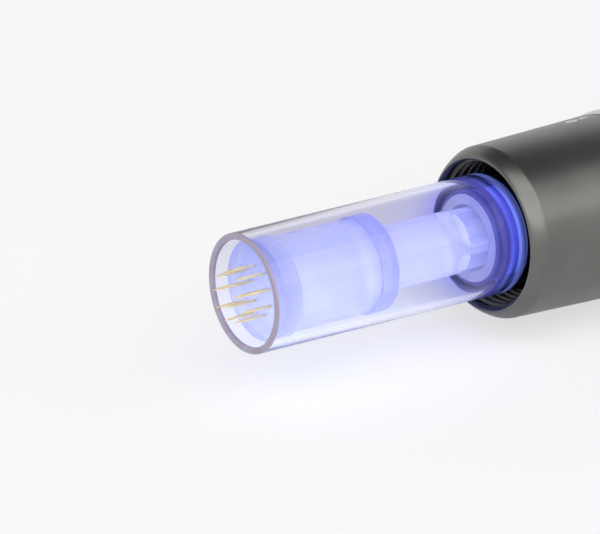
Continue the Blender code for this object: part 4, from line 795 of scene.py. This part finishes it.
# Where the painted shade in the tube's bore begins
GAP_SHADE_FRONT = 0.0277
NECK_RADIUS = 0.00585
NECK_BORE = 0.00485
NECK_REAR = 0.0406
NECK_CHAMFER = 0.0004
NECK_GROOVE = (0.03765, 0.03835, 0.0053)
SHELL_STEP_LENGTH = 0.0006
RIM_INNER_EDGE = 0.00016
RIM_FROST_DEPTH = 0.0004
BORE_MARGIN = 0.00005
collar_front, collar_rear, collar_radius = NECK_COLLAR
groove_front, groove_rear, groove_radius = NECK_GROOVE
shell_outline = filleted([
    (0, SHELL_INNER_RIM, RIM_INNER_EDGE),
    (0, SHELL_RIM_RADIUS, SMALL_EDGE),
    (SHELL_LENGTH, SHELL_REAR_RADIUS, PLAIN_EDGE),
    (SHELL_LENGTH + SHELL_STEP_LENGTH, NECK_RADIUS, PLAIN_EDGE),
    (collar_front, NECK_RADIUS),
    (collar_front, collar_radius),
    (collar_rear, collar_radius),
    (collar_rear, NECK_RADIUS),
    (groove_front, NECK_RADIUS),
    (groove_front, groove_radius),
    (groove_rear, groove_radius),
    (groove_rear, NECK_RADIUS),
    (NECK_REAR - NECK_CHAMFER, NECK_RADIUS),
    (NECK_REAR, NECK_RADIUS - NECK_CHAMFER),
    (NECK_REAR, NECK_BORE),
    (SHELL_SHOULDER, NECK_BORE, PLAIN_EDGE),
    (SHELL_SHOULDER, SHELL_INNER_REAR, SMALL_EDGE),
    (GAP_SHADE_FRONT, SHELL_INNER_REAR, 0),
    (RIM_FROST_DEPTH, SHELL_INNER_RIM, 0),
])
shell_shape = turned(shell_outline)
for face in shell_shape.faces:
    middle = face.calc_center_median()
    if middle.x < RIM_FROST_DEPTH:
        face.material_index = 1
    # The bore just in front of the shoulder takes the painted shade of the narrow gap
    in_bore = hypot(middle.y, middle.z) < SHELL_INNER_REAR + BORE_MARGIN
    if in_bore and GAP_SHADE_FRONT < middle.x <= SHELL_SHOULDER:
        face.material_index = 2
add_mesh("cartridge_shell_moulded", shell_shape, "cartridge", [CLEAR, RIM, GAP_SHADE], ["cartridge_shell"])

# Inner bush: a sleeve with a wider front rim, which guides the stem
BUSH_FRONT = station_of("seal_bush")
BUSH_REAR = station_of("seal_bush", 1)
BUSH_BORE = 0.0035
BUSH_RIM = 0.0050
BUSH_RIM_LENGTH = 0.0007
BUSH_BODY = 0.00475
BUSH_SHADED_RIM = 0.0046
bush_shape = turned(filleted([
    (BUSH_FRONT, BUSH_BORE),
    (BUSH_FRONT, BUSH_SHADED_RIM, 0),
    (BUSH_FRONT, BUSH_RIM, SMALL_EDGE),
    (BUSH_FRONT + BUSH_RIM_LENGTH, BUSH_RIM),
    (BUSH_FRONT + BUSH_RIM_LENGTH, BUSH_BODY),
    (BUSH_REAR, BUSH_BODY),
    (BUSH_REAR, BUSH_BORE),
]), MEDIUM_SIDES)
# The outer edge of the front rim takes the painted shade of the narrow gap
for face in bush_shape.faces:
    middle = face.calc_center_median()
    if hypot(middle.y, middle.z) > BUSH_SHADED_RIM and middle.x < BUSH_FRONT + BUSH_RIM_LENGTH:
        face.material_index = 1
add_mesh("seal_bush_moulded", bush_shape, "cartridge", [GREY, GAP_SHADE], ["seal_bush"])

# Needle plate with a drilled seat for each needle, and the ground needles
PLATE_FRONT = 0.0016
PLATE_REAR = 0.0035
PLATE_RADIUS = 0.0051
NEEDLE_RADIUS = 0.00015
NEEDLE_HOLE = 0.0002
NEEDLE_SEAT = 0.0010
NEEDLE_SEAT_GAP = 0.00006
NEEDLE_SEAT_SIDES = 20
NEEDLE_REACH = 0.0019
NEEDLE_TAPER = 0.0012
NEEDLE_TIP_RADIUS = 0.000008
NEEDLE_POINT_POWER = 0.8
NEEDLE_STEPS = 8
NEEDLE_SIDES = 24
NEEDLE_SHARP_ANGLE = radians(60)

# Each ring of needles: how many, its radius and the first needle's angle
OUTER_RING = (9, 0.0025, radians(20))
INNER_RING = (3, 0.0011, radians(18))
needle_places = []
for count, radius, start in (OUTER_RING, INNER_RING):
    for index in range(count):
        angle = start + 2 * pi * index / count
        needle_places.append((-radius * cos(angle), radius * sin(angle)))
plate = add_mesh("needle_plate_moulded", turned(filleted([
    (PLATE_FRONT, 0),
    (PLATE_FRONT, PLATE_RADIUS, SMALL_EDGE),
    (PLATE_REAR, PLATE_RADIUS),
    (PLATE_REAR, 0),
], closed=False)), "needle_carriage", [BLUE], ["needle_plate"])
seat_top = PLATE_FRONT - OVERRUN
seat_floor = PLATE_FRONT + NEEDLE_SEAT
seat = [(seat_top, 0), (seat_top, NEEDLE_HOLE), (seat_floor, NEEDLE_HOLE), (seat_floor, 0)]
bored(plate, *[cutter(turned(seat, NEEDLE_SEAT_SIDES, place)) for place in needle_places])

needle_outline = [(-NEEDLE_REACH, 0)]
for step in range(NEEDLE_STEPS + 1):
    share = step / NEEDLE_STEPS
    radius = max(NEEDLE_RADIUS * share ** NEEDLE_POINT_POWER, NEEDLE_TIP_RADIUS)
    needle_outline.append((NEEDLE_TAPER * share - NEEDLE_REACH, radius))
needle_end = seat_floor - NEEDLE_SEAT_GAP
needle_outline += [(needle_end, NEEDLE_RADIUS), (needle_end, 0)]
for number, place in enumerate(needle_places, start=1):
    needle = turned(needle_outline, NEEDLE_SIDES, place)
    add_mesh(f"needle_ground_{number:02}", needle, "needle_carriage", [GOLD], [f"needle_{number:02}"],
             NEEDLE_SHARP_ANGLE)

# Needle carrier: a walled cup with a flange, and its cross-ribbed stem round a thin core
CARRIER_FRONT = 0.0036
CARRIER_REAR = 0.0132
CARRIER_RADIUS = 0.00485
CARRIER_DRAFT = 0.00005
CARRIER_FLANGE = 0.00502
CAVITY_RADIUS = 0.0036
CAVITY_FLOOR = 0.0115
STEM_RADIUS = 0.0033
STEM_FRONT = 0.0152
STEM_REAR = 0.0255
RIBS_REAR = 0.0340
CORE_RADIUS = 0.0016
CORE_REAR = 0.0419
RIB_HALF = 0.0005
RIB_INSET = 0.00003


def ribbed_stem():
    """The stem's cross of two ribs with broken edges, to join to its thin core."""
    reach = STEM_RADIUS - RIB_INSET
    quarter_outline = [
        (RIB_HALF - FINE_EDGE, reach),
        (RIB_HALF, reach - FINE_EDGE),
        (RIB_HALF, RIB_HALF),
        (reach - FINE_EDGE, RIB_HALF),
        (reach, RIB_HALF - FINE_EDGE),
    ]
    corners = []
    for quarter in range(4):
        turn = -pi / 2 * quarter
        for across, up in quarter_outline:
            corners.append((across * cos(turn) - up * sin(turn), across * sin(turn) + up * cos(turn)))
    shape = bmesh.new()
    front = [shape.verts.new((STEM_REAR - OVERRUN, across, up)) for across, up in corners]
    rear = [shape.verts.new((RIBS_REAR, across, up)) for across, up in corners]
    shape.faces.new(front)
    shape.faces.new(rear)
    for corner in range(len(corners)):
        after = (corner + 1) % len(corners)
        shape.faces.new((front[corner], front[after], rear[after], rear[corner]))
    return shape


carrier = add_mesh("needle_carrier_moulded", turned(filleted([
    (CAVITY_FLOOR, 0),
    (CAVITY_FLOOR, CAVITY_RADIUS),
    (CARRIER_FRONT, CAVITY_RADIUS),
    (CARRIER_FRONT, CARRIER_RADIUS),
    (CARRIER_REAR, CARRIER_RADIUS - CARRIER_DRAFT),
    (CARRIER_REAR, CARRIER_FLANGE),
    (STEM_FRONT, CARRIER_FLANGE),
    (STEM_FRONT, STEM_RADIUS, PLAIN_EDGE),
    (STEM_REAR, STEM_RADIUS),
    (STEM_REAR, CORE_RADIUS),
    (CORE_REAR, CORE_RADIUS),
    (CORE_REAR, 0),
], closed=False)), "needle_carriage", [BLUE], ["needle_carrier"])
bored(carrier, cutter(ribbed_stem()), operation='UNION')

# Plunger tail: the socketed foot of the stem, which the drive rod pushes
TAIL_FRONT = 0.0409
TAIL_REAR = 0.0424
TAIL_RADIUS = 0.0045
TAIL_SOCKET_FLOOR = 0.0420
TAIL_SOCKET = 0.0017
add_mesh("plunger_tail_moulded", turned(filleted([
    (TAIL_SOCKET_FLOOR, 0),
    (TAIL_SOCKET_FLOOR, TAIL_SOCKET),
    (TAIL_FRONT, TAIL_SOCKET),
    (TAIL_FRONT, TAIL_RADIUS),
    (TAIL_REAR, TAIL_RADIUS, PLAIN_EDGE),
    (TAIL_REAR, 0),
], closed=False), MEDIUM_SIDES), "needle_carriage", [BLUE], ["plunger_tail"])

# Buttons: dished crowns, each with a flange inside the barrel and a stem for its switch
BUTTON_TOP = 0.0120
BUTTON_EDGE = 0.00035
BUTTON_DISH = 0.0003
BUTTON_DISH_INSET = 1.5 * BUTTON_EDGE
BUTTON_LIP = 0.0008
BUTTON_LIP_GAP = 0.0001
BUTTON_LIP_THICKNESS = 0.0007
BUTTON_STEM_RADIUS = 0.0015
BUTTON_STEM_LENGTH = 0.0003
DISH_STEPS = 8
for node, body, radius in BUTTONS:
    lip_top = sqrt(BARREL_BORE ** 2 - (radius + BUTTON_LIP) ** 2) - BUTTON_LIP_GAP
    lip_bottom = lip_top - BUTTON_LIP_THICKNESS
    dish_radius = radius - BUTTON_DISH_INSET
    button_outline = [
        (lip_bottom - BUTTON_STEM_LENGTH, 0),
        (lip_bottom - BUTTON_STEM_LENGTH, BUTTON_STEM_RADIUS),
        (lip_bottom, BUTTON_STEM_RADIUS),
        (lip_bottom, radius + BUTTON_LIP),
        (lip_top, radius + BUTTON_LIP),
        (lip_top, radius),
        (BUTTON_TOP, radius, BUTTON_EDGE),
    ]
    for step in range(DISH_STEPS + 1):
        share = 1 - step / DISH_STEPS
        button_outline.append((BUTTON_TOP - BUTTON_DISH * (1 - share ** 2), dish_radius * share))
    button = turned(filleted(button_outline, closed=False), MEDIUM_SIDES, upright=node_middle(node))
    add_mesh(node + "_dished", button, body, [BRIGHT], [node])

# Light guide: a rounded bar inside the barrel with five domed pins up through its wall
LIGHT_BAR_HEIGHT = 0.0012
LIGHT_BAR_GAP = 0.0003
LIGHT_TOP = 0.0114
LIGHT_DOME = 0.0003
LIGHT_BAR_EDGE = 0.0003
LIGHT_BAR_STEPS = 3
half_bar = LIGHT_BAR_WIDTH / 2
bar_top = sqrt(BARREL_BORE ** 2 - half_bar ** 2) - LIGHT_BAR_GAP
bar_low = Vector((LIGHT_STATIONS[0] - half_bar, -half_bar, bar_top - LIGHT_BAR_HEIGHT))
bar_high = Vector((LIGHT_STATIONS[-1] + half_bar, half_bar, bar_top))
bar = bmesh.new()
bmesh.ops.create_cube(bar, size=1)
for corner in bar.verts:
    share = corner.co + Vector((0.5, 0.5, 0.5))
    corner.co = bar_low + Vector(a * b for a, b in zip(share, bar_high - bar_low))
bmesh.ops.bevel(bar, geom=bar.edges, offset=LIGHT_BAR_EDGE, segments=LIGHT_BAR_STEPS, profile=0.5,
                affect='EDGES')
guide = add_mesh("light_guide_domed", bar, "handle", [INDICATOR], ["light_guide"])
pin_foot = bar_top - LIGHT_BAR_HEIGHT / 2
light_pin = [(pin_foot, 0), (pin_foot, LIGHT_RADIUS)] + domed(LIGHT_TOP, LIGHT_DOME, LIGHT_RADIUS)
bored(guide, *[cutter(turned(light_pin, SMALL_SIDES, upright=station)) for station in LIGHT_STATIONS],
      operation='UNION')

# Charging socket: a flanged bush with a rounded mouth, and its domed centre pin
SOCKET_FRONT = station_of("charge_socket")
SOCKET_REAR = station_of("charge_socket", 1)
SOCKET_RADIUS = 0.0039
SOCKET_BORE = 0.00275
SOCKET_BORE_FRONT = 0.1627
SOCKET_FLANGE = (0.1672, 0.1687, 0.0052)
SOCKET_MOUTH = 0.0003
PIN_HOLE = 0.00115
PIN_RADIUS = 0.00105
PIN_REAR = station_of("socket_pin", 1)
PIN_DOME = 0.0006
flange_front, flange_rear, flange_radius = SOCKET_FLANGE
add_mesh("charge_socket_moulded", turned(filleted([
    (SOCKET_FRONT, PIN_HOLE),
    (SOCKET_FRONT, SOCKET_RADIUS),
    (flange_front, SOCKET_RADIUS),
    (flange_front, flange_radius),
    (flange_rear, flange_radius),
    (flange_rear, SOCKET_RADIUS),
    (SOCKET_REAR, SOCKET_RADIUS),
    (SOCKET_REAR, SOCKET_BORE, SOCKET_MOUTH),
    (SOCKET_BORE_FRONT, SOCKET_BORE),
    (SOCKET_BORE_FRONT, PIN_HOLE),
]), MEDIUM_SIDES), "handle", [BLACK], ["charge_socket"])
centre_pin = [(SOCKET_FRONT, 0), (SOCKET_FRONT, PIN_RADIUS)] + domed(PIN_REAR, PIN_DOME, PIN_RADIUS)
add_mesh("socket_pin_turned", turned(centre_pin, SMALL_SIDES), "handle", [BRASS], ["socket_pin"])

# Printed scale on the dial: six plain digits with a tick each, and the index mark on the barrel
PRINT_RISE = 0.00002
PRINT_DEPTH = 0.00004
DIGIT_SIZE = 0.0021
DIGIT_STATION = 0.0427
TICK_STATIONS = (0.0439, 0.0449)
TICK_HALF_WIDTH = 0.00013
DIGITS = "012345"
FIRST_DIGIT_ANGLE = radians(80)
INDEX_STATIONS = (0.0506, 0.0520)
INDEX_HALF_WIDTH = 0.0003
INDEX_POINT_SHARE = 0.6
TICK_PARTS = 6
DIGIT_RESOLUTION = 4


def dial_radius(station):
    """The radius of the dial's outside, which widens evenly behind its lip."""
    front = DIAL_FRONT + DIAL_LIP_LENGTH
    return DIAL_LIP_RADIUS + (DIAL_REAR_RADIUS - DIAL_LIP_RADIUS) * (station - front) / (DIAL_REAR - front)


def barrel_radius(station):
    """The radius of the barrel's outside, which swells behind the bright ring."""
    return flare_radius(max(0.0, min(1.0, (station - BARREL_FRONT) / BARREL_FLARE)))


def wrapped(flat, station, angle, surface):
    """Bend a flat bmesh, drawn with its top towards the rear, onto the pen at an angle from +Y to +Z."""
    for corner in flat.verts:
        across, along, out = corner.co
        place = station + along
        reach = surface(place) + (PRINT_RISE if out > 0 else PRINT_RISE - PRINT_DEPTH)
        turn = angle + across / surface(station)
        corner.co = (place, reach * cos(turn), reach * sin(turn))
    return flat


def digit_shape(digit):
    """One digit from the built-in typeface as a thin flat bmesh centred on the origin."""
    curve = bpy.data.curves.new("digit", 'FONT')
    curve.body = digit
    curve.size = DIGIT_SIZE
    curve.extrude = PRINT_DEPTH / 2
    curve.align_x = 'CENTER'
    curve.align_y = 'CENTER'
    curve.resolution_u = DIGIT_RESOLUTION
    letter = bpy.data.objects.new("digit", curve)
    bpy.context.scene.collection.objects.link(letter)
    graph = bpy.context.evaluated_depsgraph_get()
    mesh = bpy.data.meshes.new_from_object(letter.evaluated_get(graph))
    shape = bmesh.new()
    shape.from_mesh(mesh)
    bpy.data.objects.remove(letter, do_unlink=True)
    return shape


def bar_shape(front, rear, half_width, point_share=0.0):
    """A thin flat bar from one station to another, whose front share may narrow to a point."""
    flat = bmesh.new()
    outline = []
    for step in range(TICK_PARTS + 1):
        share = step / TICK_PARTS
        widening = min(1.0, share / point_share) if point_share else 1.0
        outline.append((half_width * widening, (rear - front) * share))
    outline += [(-across, along) for across, along in reversed(outline)]
    sheets = [[flat.verts.new((across, along, out)) for across, along in outline] for out in (-1, 1)]
    flat.faces.new(sheets[0])
    flat.faces.new(sheets[1])
    for corner in range(len(outline)):
        after = (corner + 1) % len(outline)
        flat.faces.new((sheets[0][corner], sheets[0][after], sheets[1][after], sheets[1][corner]))
    return flat


def gathered(shapes):
    """Several bmeshes as one."""
    whole = bmesh.new()
    for shape in shapes:
        mesh = bpy.data.meshes.new("part")
        shape.to_mesh(mesh)
        shape.free()
        whole.from_mesh(mesh)
        bpy.data.meshes.remove(mesh)
    return whole


printed = []
for index, digit in enumerate(DIGITS):
    angle = FIRST_DIGIT_ANGLE + 2 * pi * index / len(DIGITS)
    printed.append(wrapped(digit_shape(digit), DIGIT_STATION, angle, dial_radius))
    tick = bar_shape(*TICK_STATIONS, TICK_HALF_WIDTH)
    printed.append(wrapped(tick, TICK_STATIONS[0], angle, dial_radius))
add_mesh("dial_scale_printed", gathered(printed), "depth_dial", [WHITE])
index_bar = bar_shape(*INDEX_STATIONS, INDEX_HALF_WIDTH, INDEX_POINT_SHARE)
index_mark = wrapped(index_bar, INDEX_STATIONS[0], FIRST_DIGIT_ANGLE, barrel_radius)
add_mesh("index_mark_printed", index_mark, "handle", [WHITE])

# Studio: white floor, soft lamps, a world that is bright low down and darker overhead
FLOOR_HALF = 1.6
FLOOR_WHITE = 0.60
FLOOR_GLOSS = 0.2
FLOOR_COLOUR = (0.93, 0.93, 0.935)
FLOOR_ROUGHNESS = 0.8
SKY_LOW = (0.50, (0.90, 0.90, 0.91))
SKY_HIGH = (0.70, (0.05, 0.05, 0.053))
SKY_THROUGH_GLASS = (0.97, 0.97, 0.98)
LAMP_AIM_STATION = 0.035

# Each lamp: its place from the rim's foot on the table, its width, its height and its power
LAMPS = {
    "top_box": ((-0.69, -0.825, 1.20), 2.1, 2.1, 26),
    "side_box": ((0.66, -0.825, 0.81), 1.35, 0.90, 3.8),
}

floor_shape = bmesh.new()
bmesh.ops.create_grid(floor_shape, x_segments=1, y_segments=1, size=FLOOR_HALF)
floor_mesh = bpy.data.meshes.new("studio_floor")
floor_shape.to_mesh(floor_mesh)
floor_shape.free()
floor = bpy.data.objects.new("studio_floor", floor_mesh)
bpy.context.scene.collection.objects.link(floor)


def floor_material():
    """White paper: rays that show it see it near white, and it keeps the shadows."""
    nodes = Nodes("studio_floor")
    nodes.set(Base_Color=FLOOR_COLOUR, Roughness=FLOOR_ROUGHNESS)
    path = nodes.add('ShaderNodeLightPath')
    straight = nodes.math('MAXIMUM', path.outputs["Is Camera Ray"], path.outputs["Is Transmission Ray"])
    mirrored = nodes.math('MULTIPLY', path.outputs["Is Glossy Ray"], FLOOR_GLOSS)
    shown = nodes.math('MAXIMUM', nodes.math('MULTIPLY', straight, FLOOR_WHITE), mirrored)
    white = nodes.add('ShaderNodeEmission')
    white.inputs["Color"].default_value = (1, 1, 1, 1)
    mix = nodes.add('ShaderNodeMixShader')
    nodes.link(shown, mix.inputs[0])
    nodes.link(nodes.shader.outputs["BSDF"], mix.inputs[1])
    nodes.link(white.outputs["Emission"], mix.inputs[2])
    nodes.link(mix.outputs["Shader"], nodes.output.inputs["Surface"])
    return nodes.material


floor_mesh.materials.append(floor_material())

world = bpy.data.worlds.new("studio")
bpy.context.scene.world = world
world.use_nodes = True
tree = world.node_tree
split = tree.nodes.new('ShaderNodeSeparateXYZ')
tree.links.new(tree.nodes.new('ShaderNodeTexCoord').outputs["Generated"], split.inputs[0])
sky = tree.nodes.new('ShaderNodeValToRGB')
for element, (position, colour) in zip(sky.color_ramp.elements, (SKY_LOW, SKY_HIGH)):
    element.position = position
    element.color = (*colour, 1)
tree.links.new(split.outputs["Z"], sky.inputs["Fac"])
path = tree.nodes.new('ShaderNodeLightPath')
show = tree.nodes.new('ShaderNodeMix')
show.data_type = 'RGBA'
tree.links.new(path.outputs["Is Transmission Ray"], show.inputs["Factor"])
tree.links.new(sky.outputs["Color"], show.inputs["A"])
show.inputs["B"].default_value = (*SKY_THROUGH_GLASS, 1)
tree.links.new(show.outputs["Result"], tree.nodes["Background"].inputs["Color"])
tree.nodes["Background"].inputs["Strength"].default_value = 1.0


def soft_lamp(name, place, width, height, power):
    """A rectangular softbox at a place in the row frame, turned to the pen's nose."""
    lamp = bpy.data.lights.new(name, 'AREA')
    lamp.shape = 'RECTANGLE'
    lamp.size = width
    lamp.size_y = height
    lamp.energy = power
    box = bpy.data.objects.new(name, lamp)
    box.location = place
    towards_nose = Vector((RIM_X + LAMP_AIM_STATION, 0, AXIS_Z)) - Vector(place)
    box.rotation_euler = towards_nose.to_track_quat('-Z', 'Y').to_euler()
    bpy.context.scene.collection.objects.link(box)


for name, ((x, y, z), width, height, power) in LAMPS.items():
    soft_lamp(name, (RIM_X + x, y, z), width, height, power)

# Camera at the photograph's angle
azimuth, elevation = CAMERA_AZIMUTH, CAMERA_ELEVATION
to_right = Vector((cos(azimuth), -sin(azimuth), 0))
forward = Vector((sin(azimuth) * cos(elevation), cos(azimuth) * cos(elevation), -sin(elevation)))
downward = Vector((-sin(azimuth) * sin(elevation), -cos(azimuth) * sin(elevation), -cos(elevation)))
camera = bpy.data.cameras.new("camera")
camera.lens = CAMERA_LENS
camera.sensor_width = CAMERA_SENSOR
camera.clip_start = CAMERA_NEAR
camera.clip_end = CAMERA_FAR
view = bpy.data.objects.new("camera", camera)
rim = Vector((RIM_X, 0, AXIS_Z))
view.location = rim - (to_right * RIM_RIGHT + downward * RIM_DOWN + forward * RIM_DEPTH)
view.rotation_euler = (pi / 2 - elevation, 0, -azimuth)
bpy.context.scene.collection.objects.link(view)
bpy.context.scene.camera = view
bpy.context.scene.view_settings.view_transform = 'Standard'
